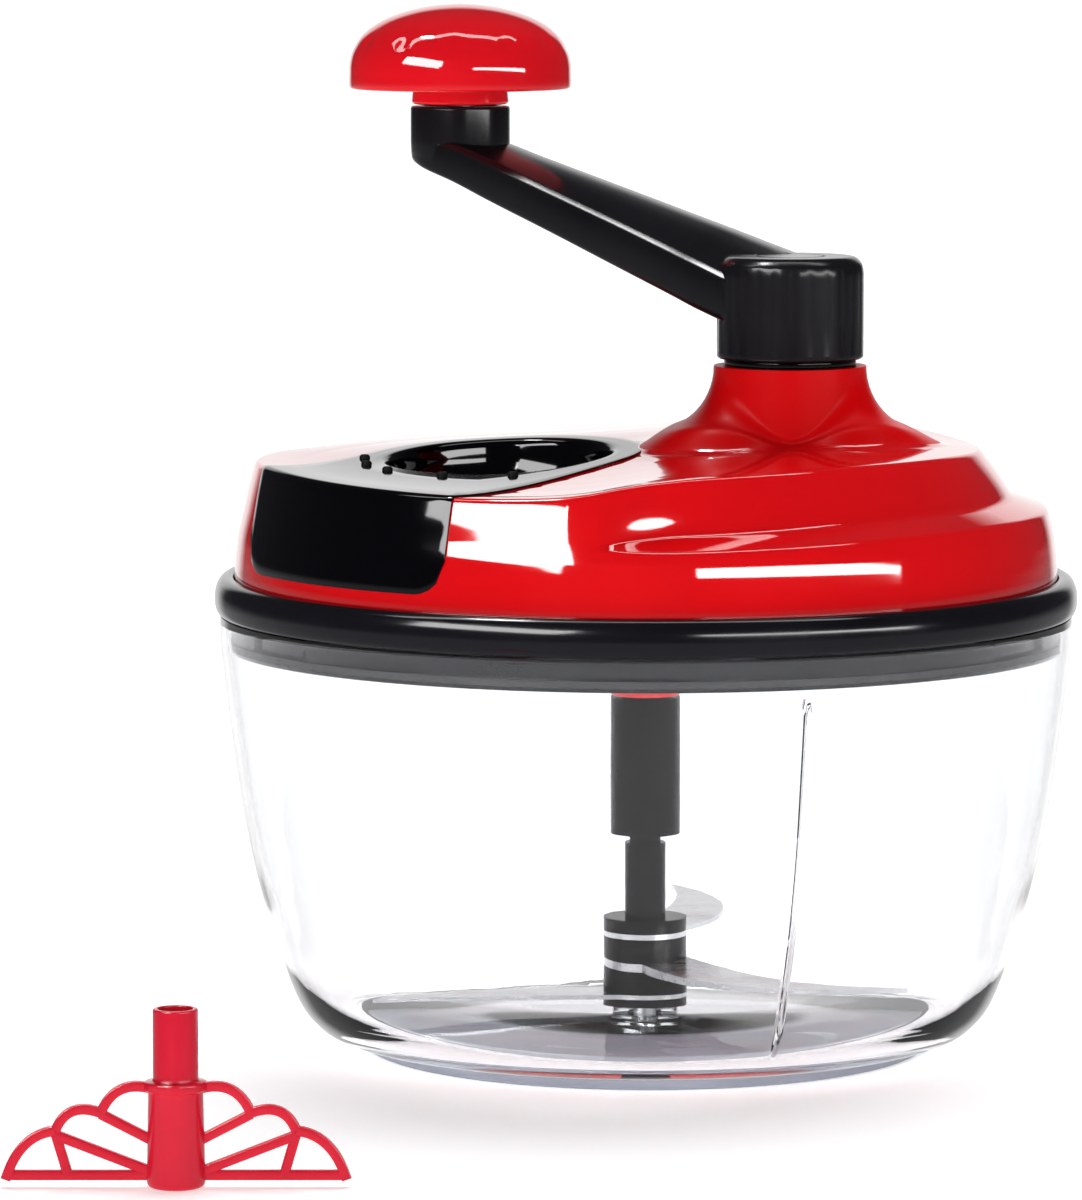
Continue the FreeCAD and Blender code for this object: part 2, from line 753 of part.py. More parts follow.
def make_gears():
    height = value("gear_height")
    up = FreeCAD.Vector(0, 0, height)
    gear = doc.addObject("Part::Feature", "drive_gear")
    gear.Label = "drive_gear"
    hub = Part.makeCylinder(value("gear_hub_radius"), height + value("gear_hub_height"))
    wheel = gear_face(int(value("gear_teeth")), value("gear_addendum")).extrude(up).fuse(hub)
    gear.Shape = wheel.cut(hexagon_bar(value("shaft_flats"), 2 * height)).removeSplitter()
    place = FreeCAD.Vector(value(crank_offset), 0, value(gear_foot))
    gear.Placement = FreeCAD.Placement(place, FreeCAD.Rotation())
    pinion = doc.addObject("Part::Feature", "spindle_pinion")
    pinion.Label = "spindle_pinion"
    teeth = int(value("pinion_teeth"))
    wheel = gear_face(teeth, value("pinion_addendum")).extrude(up)
    # turned half a tooth, so that a gap faces the drive gear's tooth
    half_tooth = 180 / teeth
    pinion.Shape = wheel.cut(hexagon_bar(value("pinion_flats"), height, -half_tooth))
    turn = FreeCAD.Rotation(FreeCAD.Vector(0, 0, 1), half_tooth)
    pinion.Placement = FreeCAD.Placement(FreeCAD.Vector(0, 0, value(gear_foot)), turn)
    return [gear, pinion]


def make_crank_shaft():
    body = new_body("crank_shaft", x=crank_offset)
    foot = f"({bush_foot} - shaft_stub)"
    top = f"({lid_foot} + shaft_top)"
    raised(body, lambda sketch: hexagon(sketch, "shaft_flats"), foot, f"{top} - {foot}")
    groove_top = f"({bush_foot} - clip_gap)"
    groove_foot = f"({groove_top} - clip_thickness)"
    # the clip is as wide as the bush it bears on
    clip_radius = f"({shaft_bore} + bush_wall)"
    turned(body, ring("clip_groove", clip_radius, groove_foot, groove_top), cut=True)
    sunk(body, lambda sketch: circle(sketch, "0", "0", "crank_screw_radius"), top, "crank_screw_length")
    clip = new_body("shaft_clip", x=crank_offset)
    turned(clip, ring("clip_groove", clip_radius, groove_foot, groove_top))
    sunk(clip, lambda sketch: outline(sketch, [
        ("0", "-clip_slot / 2"),
        (f"{clip_radius} + clip_slot", "-clip_slot / 2"),
        (f"{clip_radius} + clip_slot", "clip_slot / 2"),
        ("0", "clip_slot / 2"),
    ]), groove_top, "clip_thickness")
    washer = new_body("hub_washer", x=crank_offset)
    turned(washer, ring(f"{shaft_corner} + bush_play", "washer_radius", washer_foot, hub_foot))
    return [body, clip, washer]


def arm_section(body, x, width, bottom, side, crown):
    # a crowned section across the arm; the sketch's x is across, its y is up
    sketch = new_sketch(body, "YZ_Plane", z=x)
    outline(sketch, [
        (f"-{width} / 2", bottom),
        (f"{width} / 2", bottom),
        (f"{width} / 2", side),
        ("arc", "0", crown, f"-{width} / 2", side),
    ])
    return sketch


def make_crank_arm():
    body = new_body("crank_arm", x=crank_offset, z=hub_foot, turn="arm_azimuth")
    bend = "arm_hub_round * (1 - cos(45 deg))"
    turned(body, [
        ("0", "0"),
        ("arm_hub_radius", "0"),
        ("arm_hub_radius", "arm_hub_height - arm_hub_round"),
        (
            "arc",
            f"arm_hub_radius - {bend}",
            f"arm_hub_height - {bend}",
            "arm_hub_radius - arm_hub_round",
            "arm_hub_height",
        ),
        ("0", "arm_hub_height"),
    ])
    near = arm_section(body, "arm_start", "arm_start_width", "arm_start_bottom", "arm_start_side",
                       "arm_start_crown")
    far = arm_section(body, "arm_length", "arm_end_width", "arm_end_bottom", "arm_end_side", "arm_end_crown")
    beam = feature(body, "AdditiveLoft", near)
    beam.Sections = [far]
    beam.Ruled = True
    turned(body, ring("0", "knob_boss_radius", "arm_end_bottom", "knob_boss_top"), x="arm_length")
    top = f"({lid_foot} + shaft_top)"
    socket_depth = f"({top} - {hub_foot} + 0.2)"
    # the socket keeps the shaft's own direction, whichever way the arm points
    sunk(body, lambda sketch: hexagon(sketch, "shaft_flats", "-arm_azimuth"), socket_depth, socket_depth)
    head_seat = "(arm_hub_height - recess_depth)"
    sunk(body, lambda sketch: circle(sketch, "0", "0", "cap_radius"), "arm_hub_height + 10",
         "recess_depth + 10")
    sunk(body, lambda sketch: circle(sketch, "0", "0", "crank_screw_radius + 0.2"), head_seat, head_seat)
    sunk(body, lambda sketch: circle(sketch, "arm_length", "0", "knob_pin_radius"), "knob_boss_top",
         "knob_pin_depth")
    screw = new_body("crank_screw", x=crank_offset, z=hub_foot)
    turned(screw, [
        ("0", f"{head_seat} - crank_screw_length + 1"),
        ("crank_screw_radius", f"{head_seat} - crank_screw_length + 1"),
        ("crank_screw_radius", head_seat),
        ("crank_screw_head", head_seat),
        ("crank_screw_head", f"{head_seat} + crank_screw_head_height"),
        ("0", f"{head_seat} + crank_screw_head_height"),
    ])
    cap = new_body("hub_cap", x=crank_offset, z=hub_foot)
    turned(cap, ring("0", "cap_radius", "arm_hub_height - cap_thickness", "arm_hub_height"))
    return [body, screw, cap]


def make_knob():
    # heights are above the knob's lower face
    under = "knob_neck_height"
    floor = f"({under} + knob_base_thickness)"
    pin_bore = "(knob_pin_radius + knob_pin_play)"
    edge = "(knob_radius - knob_wall)"
    base = new_body("knob_base", x=knob_x, y=knob_y, z=knob_foot)
    turned(base, [
        (pin_bore, "0"),
        ("knob_neck_radius", "0"),
        ("knob_neck_radius", under),
        (edge, under),
        (edge, floor),
        (f"{pin_bore} + knob_sleeve_wall", floor),
        (f"{pin_bore} + knob_sleeve_wall", "knob_sleeve_height"),
        (pin_bore, "knob_sleeve_height"),
    ])
    # both faces of the dome are spheres about one centre below the knob
    rim = f"({under} + knob_edge)"
    centre = f"((knob_height ^ 2 - knob_radius ^ 2 - {rim} ^ 2) / 2 / (knob_height - {rim}))"
    outer = f"(knob_height - {centre})"
    inner = f"({outer} - knob_wall)"
    inner_edge = f"sqrt({inner} ^ 2 - ({rim} - {centre}) ^ 2)"
    dome = new_body("knob_dome", x=knob_x, y=knob_y, z=knob_foot)
    turned(dome, [
        (edge, under),
        ("knob_radius", under),
        ("knob_radius", rim),
        ("arc", f"{outer} * sin(40 deg)", f"{centre} + {outer} * cos(40 deg)", "0", "knob_height"),
        ("0", "knob_height - knob_wall"),
        ("arc", f"{inner} * sin(40 deg)", f"{centre} + {inner} * cos(40 deg)", inner_edge, rim),
        (edge, floor),
    ])
    pin = new_body("knob_pin", x=knob_x, y=knob_y, z=knob_foot)
    pin_foot = "(-knob_gap - knob_pin_depth)"
    head = "(knob_sleeve_height + knob_gap)"
    turned(pin, [
        ("0", pin_foot),
        ("knob_pin_radius", pin_foot),
        ("knob_pin_radius", head),
        ("knob_pin_head", head),
        ("knob_pin_head", f"{head} + knob_pin_head_height"),
        ("0", f"{head} + knob_pin_head_height"),
    ])
    return [base, dome, pin]


def make_spindle():
    body = new_body("drive_spindle")
    column_top = f"({sleeve_foot} - sleeve_gap)"
    key_foot = f"({tube_top} - socket_depth + key_gap)"
    seat = f"({gear_foot} - thrust_gap / 2)"
    turned(body, [
        ("0", column_foot),
        ("column_radius", column_foot),
        ("column_radius", column_top),
        ("journal_radius", column_top),
        ("journal_radius", seat),
        ("0", seat),
    ])
    raised(body, lambda sketch: hexagon(sketch, "pinion_flats"), column_top, f"{gear_foot} + gear_height - {column_top}")
    raised(body, lambda sketch: hexagon(sketch, "key_flats"), key_foot, f"{column_foot} - {key_foot}")
    top = f"({gear_foot} + gear_height)"
    sunk(body, lambda sketch: circle(sketch, "0", "0", "pinion_screw_radius"), top, "screw_length")
    screw = new_body("pinion_screw")
    turned(screw, [
        ("0", f"{top} - screw_length"),
        ("pinion_screw_radius", f"{top} - screw_length"),
        ("pinion_screw_radius", top),
        ("pinion_screw_head", top),
        ("pinion_screw_head", f"{top} + screw_head_height"),
        ("0", f"{top} + screw_head_height"),
    ])
    return [body, screw]


blade_levels = ("lower", "middle", "upper")


def make_blades():
    # heights are above the carrier's foot
    body = new_body("blade_carrier", z=carrier_foot)
    bore = "(pin_radius + bore_play)"
    socket_foot = "(tube_height - socket_depth)"
    points = [(bore, "0"), ("hub_radius", "0")]
    for name in blade_levels:
        foot = f"{name}_level"
        points.append(("hub_radius", foot))
        points.append(("hub_neck", foot))
        points.append(("hub_neck", f"{foot} + blade_thickness"))
        points.append(("hub_radius", f"{foot} + blade_thickness"))
    points += [
        ("hub_radius", "hub_height"),
        ("tube_radius", "hub_height"),
        ("tube_radius", "tube_height"),
        ("0", "tube_height"),
        ("0", f"{socket_foot} - pin_tip_gap"),
        (bore, f"{socket_foot} - pin_tip_gap"),
    ]
    turned(body, points)
    sunk(body, lambda sketch: hexagon(sketch, "key_flats + 2 * key_play"), "tube_height", "socket_depth")
    made = [body]
    for index, name in enumerate(blade_levels):
        azimuth = f"(blade_azimuth + {index * 360 // len(blade_levels)})"
        blade = new_body(f"{name}_blade", z=f"{carrier_foot} + {name}_level", turn=azimuth)
        raised(blade, lambda sketch: circle(sketch, "0", "0", "hub_radius"), "0", "blade_thickness")
        reach = f"(mouth_radius - {name}_margin)"
        raised(blade, lambda sketch: outline(sketch, [
            ("hub_neck / 2", "-blade_root / 2"),
            ("arc", f"{reach} / 2", "-blade_belly", reach, "blade_tip"),
            ("arc", f"{reach} / 2", "blade_back", "hub_neck / 2", "blade_root / 2"),
        ]), "0", "blade_thickness")
        sunk(blade, lambda sketch: circle(sketch, "0", "0", "hub_neck"), "blade_thickness", "blade_thickness")
        made.append(blade)
    return made


def inward(x, z):
    # the point moved one bar's width towards the paddle's foot
    share = f"(1 - bar_width / sqrt(({x}) ^ 2 + ({z}) ^ 2))"
    return f"({x}) * {share}", f"({z}) * {share}"


def make_whisk():
    body = new_body("whisk_paddle", x="whisk_place_x", y="whisk_place_y")
    bore = "(pin_radius + bore_play)"
    turned(body, [
        (bore, "0"),
        ("whisk_hub_radius", "0"),
        ("whisk_hub_radius", "whisk_hub_height"),
        ("whisk_collar_radius", "whisk_hub_height"),
        ("whisk_collar_radius", "whisk_hub_height + whisk_collar_height"),
        ("tube_radius", "whisk_hub_height + whisk_collar_height"),
        ("tube_radius", "whisk_height"),
        ("0", "whisk_height"),
        ("0", "whisk_pin_depth"),
        (bore, "whisk_pin_depth"),
    ])
    bars = []

    def bar(points):
        sketch = new_sketch(body, "XZ_Plane")
        outline(sketch, points)
        made = feature(body, "Pad", sketch)
        made.Midplane = True
        made.setExpression("Length", bound("bar_depth"))
        bars.append(made)

    corners = ("start", "inner", "middle", "outer")
    for first, second in zip(corners, corners[1:]):
        start = (f"scallop_{first}_x", f"scallop_{first}_z")
        finish = (f"scallop_{second}_x", f"scallop_{second}_z")
        bulge_x = f"({start[0]} + {finish[0]}) / 2 + scallop_bulge / 2"
        bulge_z = f"({start[1]} + {finish[1]}) / 2 + scallop_bulge"
        low_start = inward(*start)
        low_finish = inward(*finish)
        low_bulge = inward(bulge_x, bulge_z)
        bar([start, ("arc", bulge_x, bulge_z) + finish, low_finish, ("arc",) + low_bulge + low_start])

    def strut(x0, z0, x1, z1):
        # a straight bar between two points, its width set off at right angles
        length = f"sqrt(({x1} - {x0}) ^ 2 + ({z1} - {z0}) ^ 2)"
        across = f"bar_width / 2 * ({z0} - {z1}) / {length}"
        along = f"bar_width / 2 * ({x1} - {x0}) / {length}"
        bar([
            (f"{x0} - {across}", f"{z0} - {along}"),
            (f"{x1} - {across}", f"{z1} - {along}"),
            (f"{x1} + {across}", f"{z1} + {along}"),
            (f"{x0} + {across}", f"{z0} + {along}"),
        ])

    hub = "(whisk_hub_radius - strut_bite)"
    inner = ("(scallop_inner_x - strut_bite)", "(scallop_inner_z - strut_bite)")
    middle = ("(scallop_middle_x - strut_bite)", "(scallop_middle_z - strut_bite)")
    strut(hub, "strut_upper_z", *inner)
    strut(hub, "strut_lower_z", *middle)
    strut(*middle, "(scallop_middle_x - strut_lean)", "(whisk_base + strut_bite)")
    bar([
        (hub, "whisk_base"),
        ("scallop_outer_x", "whisk_base"),
        ("scallop_outer_x", "scallop_outer_z"),
        (hub, "whisk_base + bar_width"),
    ])
    mirror = body.newObject("PartDesign::Mirrored", "whisk_mirror")
    mirror.Originals = bars
    plane = next(item for item in body.Origin.OriginFeatures if item.Role == "YZ_Plane")
    mirror.MirrorPlane = (plane, [""])
    body.Tip = mirror
    doc.recompute()
    sunk(body, lambda sketch: hexagon(sketch, "key_flats + 2 * key_play"), "whisk_height",
         "whisk_height - whisk_pin_depth")
    return [body]


nodes = make_bowl() + make_rim_ring() + make_lid() + make_cover_plate() + make_plate_screws()
nodes += make_gears() + make_crank_shaft() + make_crank_arm() + make_knob() + make_spindle()
nodes += make_blades() + make_whisk()
doc.recompute()

for item in doc.Objects:
    if "Invalid" in item.State or "Error" in item.State:
        raise RuntimeError(f"{item.Label} did not rebuild: {item.State}")
for node in nodes:
    if node.Shape.isNull() or not node.Shape.isValid():
        raise RuntimeError(f"{node.Label} has no valid shape")
for node in nodes:
    node.Shape.exportStep(f"parts/{node.Label}.step")
    print(f"{node.Label}: {len(node.Shape.Solids)} solid, {node.Shape.Volume:.0f} cubic mm")
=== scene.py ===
import math
import bpy
import bmesh
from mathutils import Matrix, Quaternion, Vector


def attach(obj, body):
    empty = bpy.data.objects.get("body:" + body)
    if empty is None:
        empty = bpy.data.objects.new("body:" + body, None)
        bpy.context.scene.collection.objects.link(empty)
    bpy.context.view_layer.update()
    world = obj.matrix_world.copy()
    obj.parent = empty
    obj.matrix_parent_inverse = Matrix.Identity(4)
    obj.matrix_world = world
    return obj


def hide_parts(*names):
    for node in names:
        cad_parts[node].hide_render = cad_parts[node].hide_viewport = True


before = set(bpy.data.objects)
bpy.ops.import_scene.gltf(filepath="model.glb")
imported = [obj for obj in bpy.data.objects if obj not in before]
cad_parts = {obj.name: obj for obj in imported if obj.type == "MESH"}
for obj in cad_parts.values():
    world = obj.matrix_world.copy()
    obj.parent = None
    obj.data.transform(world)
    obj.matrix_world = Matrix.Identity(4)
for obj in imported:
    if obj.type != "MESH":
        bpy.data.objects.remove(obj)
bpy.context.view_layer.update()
print("frame loaded:", len(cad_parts), "nodes")

mm = 0.001
turn = 2 * math.pi


# sums on shader sockets

class Wire:  # a socket that can be added and multiplied
    def __init__(self, shader, socket):
        self.shader = shader
        self.socket = socket

    def maths(self, operation, first, second):
        return self.shader.add("ShaderNodeMath", {"operation": operation}, {0: first, 1: second})

    def __add__(self, other):
        return self.maths("ADD", self, other)

    def __radd__(self, other):
        return self.maths("ADD", other, self)

    def __mul__(self, other):
        return self.maths("MULTIPLY", self, other)

    def __rmul__(self, other):
        return self.maths("MULTIPLY", other, self)


class Finish:  # the nodes of one material, or of the world
    def __init__(self, tree):
        self.tree = tree
        tree.nodes.clear()

    def add(self, kind, settings=None, sockets=None, output=0):
        node = self.tree.nodes.new(kind)
        for key, value in (settings or {}).items():
            setattr(node, key, value)
        for key, value in (sockets or {}).items():
            if isinstance(value, Wire):
                self.tree.links.new(value.socket, node.inputs[key])
            else:
                node.inputs[key].default_value = value
        return Wire(self, node.outputs[output] if node.outputs else None)

    def mixed(self, share, first, second):  # two colours
        return self.add("ShaderNodeMix", {"data_type": "RGBA"}, {0: share, 6: first, 7: second}, 2)

    def noise(self, place, scale, detail=3.0, roughness=0.5):
        return self.add("ShaderNodeTexNoise", {}, {
            "Vector": place, "Scale": scale, "Detail": detail, "Roughness": roughness})

    def stretched(self, place, scale):
        return self.add("ShaderNodeVectorMath", {"operation": "MULTIPLY"}, {0: place, 1: scale})

    def clamped(self, value, low, high):  # 0 at low, 1 at high
        return self.add("ShaderNodeMapRange", {"clamp": True}, {0: value, 1: low, 2: high})


def newMaterial(name):
    material = bpy.data.materials.new(name)
    material.use_nodes = True
    finish = Finish(material.node_tree)
    return material, finish


def shade(colour, factor):
    return tuple(min(1.0, c * factor) for c in colour[:3]) + (1.0,)


# finishes

def moulded(name, look):  # moulded plastic or rubber
    material, finish = newMaterial(name)
    place = finish.add("ShaderNodeTexCoord", output="Object")
    broad = finish.noise(place, look["broadScale"], 4.0)
    grain = finish.noise(place, look["grainScale"], 2.0, 0.6)
    rubbed = finish.noise(finish.stretched(place, look["rubStretch"]), look["rubScale"], 5.0, 0.7)
    marks = finish.clamped(rubbed, *look["markRange"])
    tone = finish.clamped(broad, *look["toneRange"])
    colour = finish.mixed(
        tone, shade(look["colour"], 1 - look["tint"]), shade(look["colour"], 1 + look["tint"]))
    roughness = look["roughness"] + look["patches"] * tone + look["marks"] * marks
    height = grain * look["grain"] + broad * look["wave"] + marks * look["scratch"]
    normal = finish.add("ShaderNodeBump", {}, {"Strength": 1.0, "Distance": 1.0, "Height": height})
    plastic = finish.add("ShaderNodeBsdfPrincipled", {}, {
        "Base Color": colour, "Roughness": roughness, "Normal": normal, "IOR": look["ior"],
        "Coat Weight": look["coat"], "Coat Roughness": look["coatRoughness"],
        "Subsurface Weight": look["milky"], "Subsurface Radius": look["scatter"],
        "Subsurface Scale": look["scatterScale"]})
    finish.add("ShaderNodeOutputMaterial", {}, {"Surface": plastic})
    return material


def clearPlastic(name, look):  # lamps shine straight through it
    material, finish = newMaterial(name)
    place = finish.add("ShaderNodeTexCoord", output="Object")
    flow = finish.noise(finish.stretched(place, look["flowStretch"]), look["flowScale"], 3.0)
    specks = finish.noise(place, look["speckScale"], 2.0)
    height = flow * look["flow"] + specks * look["speck"]
    normal = finish.add("ShaderNodeBump", {}, {"Strength": 1.0, "Distance": 1.0, "Height": height})
    glass = finish.add("ShaderNodeBsdfPrincipled", {}, {
        "Base Color": look["colour"], "Roughness": look["roughness"], "IOR": look["ior"],
        "Transmission Weight": 1.0, "Normal": normal})
    through = finish.add("ShaderNodeBsdfTransparent", {}, {"Color": look["shadow"]})
    lamp = finish.add("ShaderNodeLightPath", output="Is Shadow Ray")
    both = finish.add("ShaderNodeMixShader", {}, {0: lamp, 1: glass, 2: through})
    finish.add("ShaderNodeOutputMaterial", {}, {"Surface": both})
    return material


def brushedSteel(name, look):
    material, finish = newMaterial(name)
    place = finish.add("ShaderNodeTexCoord", output="Object")
    lines = finish.noise(finish.stretched(place, look["brushing"]), look["lineScale"], 6.0, 0.75)
    smears = finish.noise(place, look["smearScale"], 4.0)
    tone = finish.clamped(lines, *look["toneRange"])
    colour = finish.mixed(tone, shade(look["colour"], look["darker"]), shade(look["colour"], look["lighter"]))
    smeared = finish.clamped(smears, *look["smearRange"])
    roughness = look["roughness"] + look["spread"] * tone + look["smear"] * smeared
    height = lines * look["depth"]
    normal = finish.add("ShaderNodeBump", {}, {"Strength": 1.0, "Distance": 1.0, "Height": height})
    metal = finish.add("ShaderNodeBsdfPrincipled", {}, {
        "Base Color": colour, "Roughness": roughness, "Metallic": 1.0, "Normal": normal})
    finish.add("ShaderNodeOutputMaterial", {}, {"Surface": metal})
    return material


plainPlastic = {
    "colour": (0.8, 0.8, 0.8), "tint": 0.04, "roughness": 0.12, "patches": 0.03, "marks": 0.05,
    "broadScale": 35.0, "grainScale": 900.0, "rubStretch": (1.0, 1.0, 0.25), "rubScale": 260.0,
    "grain": 0.0, "wave": 0.00004, "scratch": 0.000002, "ior": 1.5, "coat": 0.0, "milky": 0.0,
    "markRange": (0.56, 0.74), "toneRange": (0.32, 0.68), "coatRoughness": 0.04,
    "scatter": (0.004, 0.003, 0.0025), "scatterScale": 0.3,
}
redGloss = moulded("redGloss", plainPlastic | {
    "colour": (0.80, 0.003, 0.006), "tint": 0.03, "roughness": 0.04, "patches": 0.02, "marks": 0.03,
    "wave": 0.00001, "coat": 0.7})
neckRed = moulded("neckRed", plainPlastic | {
    "colour": (0.72, 0.002, 0.004), "tint": 0.03, "roughness": 0.3, "wave": 0.00001, "ior": 1.12})
knobRed = moulded("knobRed", plainPlastic | {
    "colour": (0.86, 0.006, 0.014), "tint": 0.03, "roughness": 0.05, "marks": 0.04, "coat": 0.5})
blackGloss = moulded("blackGloss", plainPlastic | {
    "colour": (0.0015, 0.0015, 0.0025), "tint": 0.15, "roughness": 0.05, "patches": 0.02, "marks": 0.03,
    "wave": 0.00001, "ior": 1.4})
dullBlack = moulded("dullBlack", plainPlastic | {
    "colour": (0.004, 0.004, 0.005), "tint": 0.1, "roughness": 0.6, "ior": 1.2})
ringBlack = moulded("ringBlack", plainPlastic | {
    "colour": (0.006, 0.006, 0.009), "tint": 0.15, "patches": 0.04, "wave": 0.00003, "ior": 1.42})
satinBlack = moulded("satinBlack", plainPlastic | {
    "colour": (0.008, 0.008, 0.010), "tint": 0.18, "roughness": 0.17, "patches": 0.04, "marks": 0.06,
    "grain": 0.000006, "grainScale": 1400.0, "wave": 0.00003, "ior": 1.34})
columnBlack = moulded("columnBlack", plainPlastic | {
    "colour": (0.003, 0.0025, 0.003), "tint": 0.15, "roughness": 0.2, "patches": 0.05, "ior": 1.25})
crimson = moulded("crimson", plainPlastic | {
    "colour": (0.70, 0.004, 0.028), "tint": 0.06, "roughness": 0.16, "patches": 0.05, "marks": 0.08,
    "milky": 0.1, "coat": 0.25})
nylon = moulded("nylon", plainPlastic | {
    "colour": (0.80, 0.78, 0.72), "tint": 0.05, "roughness": 0.38, "grain": 0.00001, "milky": 0.25})
padGrey = moulded("padGrey", plainPlastic | {
    "colour": (0.30, 0.32, 0.38), "tint": 0.08, "roughness": 0.45, "patches": 0.1, "grain": 0.00002,
    "grainScale": 1600.0, "milky": 0.15})
sealRubber = moulded("sealRubber", plainPlastic | {
    "colour": (0.02, 0.02, 0.022), "tint": 0.2, "roughness": 0.55, "patches": 0.1, "grain": 0.00003})
bowlClear = clearPlastic("bowlClear", {
    "colour": (0.97, 0.978, 0.985, 1.0), "roughness": 0.0, "ior": 1.38, "shadow": (0.93, 0.935, 0.945, 1.0),
    "flowStretch": (1.0, 1.0, 0.3), "flowScale": 25.0, "flow": 0.00012,
    "speckScale": 700.0, "speck": 0.0000015})
plainSteel = {
    "spread": 0.12, "depth": 0.00001, "darker": 0.9, "lighter": 1.06,
    "toneRange": (0.3, 0.7), "smearRange": (0.45, 0.7),
}
bladeSteel = brushedSteel("bladeSteel", plainSteel | {
    "colour": (0.66, 0.67, 0.69), "roughness": 0.18, "smear": 0.08,
    "brushing": (1.0, 18.0, 18.0), "lineScale": 60.0, "smearScale": 60.0})
hardwareSteel = brushedSteel("hardwareSteel", plainSteel | {
    "colour": (0.60, 0.60, 0.61), "roughness": 0.25, "smear": 0.1,
    "brushing": (1.0, 1.0, 14.0), "lineScale": 90.0, "smearScale": 90.0})
print("finishes made")


# shapes

longestBend = 0.48  # the share of an edge that the bend at its end may take


def rounded(corners, radii, steps):  # a line through the corners, each turned into a small bend
    line = []
    last = len(corners) - 1
    for index, corner in enumerate(corners):
        radius = radii[index] if index < len(radii) else 0
        if index in (0, last) or radius <= 0:
            line.append(corner)
            continue
        before = corners[index - 1] - corner
        after = corners[index + 1] - corner
        first = corner + before * min(radius / max(before.length, 1e-9), longestBend)
        second = corner + after * min(radius / max(after.length, 1e-9), longestBend)
        for step in range(steps + 1):
            share = step / steps
            line.append(first.lerp(corner, share).lerp(corner.lerp(second, share), share))
    return line


class Shape:  # corners and faces gathered for one piece, in millimetres
    def __init__(self):
        self.points = []
        self.faces = []

    def band(self, rings, closed=True):  # faces between rings of points
        start = len(self.points)
        count = len(rings[0])
        for ring in rings:
            self.points.extend(ring)
        for row in range(len(rings) - 1):
            for column in range(count if closed else count - 1):
                a = start + row * count + column
                b = start + row * count + (column + 1) % count
                self.faces.append((a, b, b + count, a + count))

    def cap(self, ring):  # one face over a ring
        start = len(self.points)
        self.points.extend(ring)
        self.faces.append(tuple(range(start, start + len(ring))))

    def lathe(self, profile, steps, centre=(0, 0), reach=None):
        # profile holds (radius, height); reach may change a radius by its height and angle
        rings = []
        for radius, height in profile:
            ring = []
            for step in range(steps):
                angle = turn * step / steps
                across = reach(radius, height, angle) if reach else radius
                ring.append(Vector((centre[0] + across * math.cos(angle),
                                    centre[1] + across * math.sin(angle), height)))
            rings.append(ring)
        self.band(rings)

    def made(self, name, finishes, body, replaced=(), crease=32):
        mesh = bpy.data.meshes.new(name)
        mesh.from_pydata([tuple(p * mm) for p in self.points], [], self.faces)
        for finish in finishes:
            mesh.materials.append(finish)
        work = bmesh.new()
        work.from_mesh(mesh)
        bmesh.ops.remove_doubles(work, verts=work.verts, dist=1e-7)
        bmesh.ops.dissolve_degenerate(work, edges=work.edges, dist=1e-7)
        bmesh.ops.recalc_face_normals(work, faces=work.faces)
        work.to_mesh(mesh)
        work.free()
        mesh.shade_smooth()
        mesh.set_sharp_from_angle(angle=math.radians(crease))
        piece = bpy.data.objects.new(name, mesh)
        bpy.context.scene.collection.objects.link(piece)
        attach(piece, body)
        if replaced:
            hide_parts(*replaced)
        return piece


def flat(pairs):
    return [Vector((radius, height, 0)) for radius, height in pairs]


def bent(pairs, radii, steps):  # a lathe profile with its corners rounded
    return [(point.x, point.y) for point in rounded(flat(pairs), radii, steps)]


def modified(piece, kind, **settings):
    modifier = piece.modifiers.new(kind.lower(), kind)
    for key, value in settings.items():
        setattr(modifier, key, value)


def applied(piece):  # turns the modifiers into the mesh itself
    graph = bpy.context.evaluated_depsgraph_get()
    final = piece.evaluated_get(graph)
    mesh = bpy.data.meshes.new_from_object(final, preserve_all_data_layers=True, depsgraph=graph)
    piece.modifiers.clear()
    piece.data = mesh


def curve(points, steps):  # a smooth line through every point
    line = []
    ends = [points[0]] + list(points) + [points[-1]]
    for index in range(1, len(ends) - 2):
        values = zip(*ends[index - 1:index + 3])
        spans = [(q, r - p, 2 * p - 5 * q + 4 * r - t, 3 * q - p - 3 * r + t) for p, q, r, t in values]
        for step in range(steps):
            s = step / steps
            line.append(tuple(0.5 * (2 * q + e * s + f * s ** 2 + g * s ** 3) for q, e, f, g in spans))
    line.append(tuple(points[-1]))
    return line


def smooth(value, low, high):
    share = min(max((value - low) / (high - low), 0.0), 1.0)
    return share * share * (3 - 2 * share)


def mixedNumber(first, second, share):
    return first + (second - first) * share


def around(radius, angle, height):  # a point at an angle about the bowl's axis
    return Vector((radius * math.cos(angle), radius * math.sin(angle), height))


# the clear bowl, its rib and its foot pad

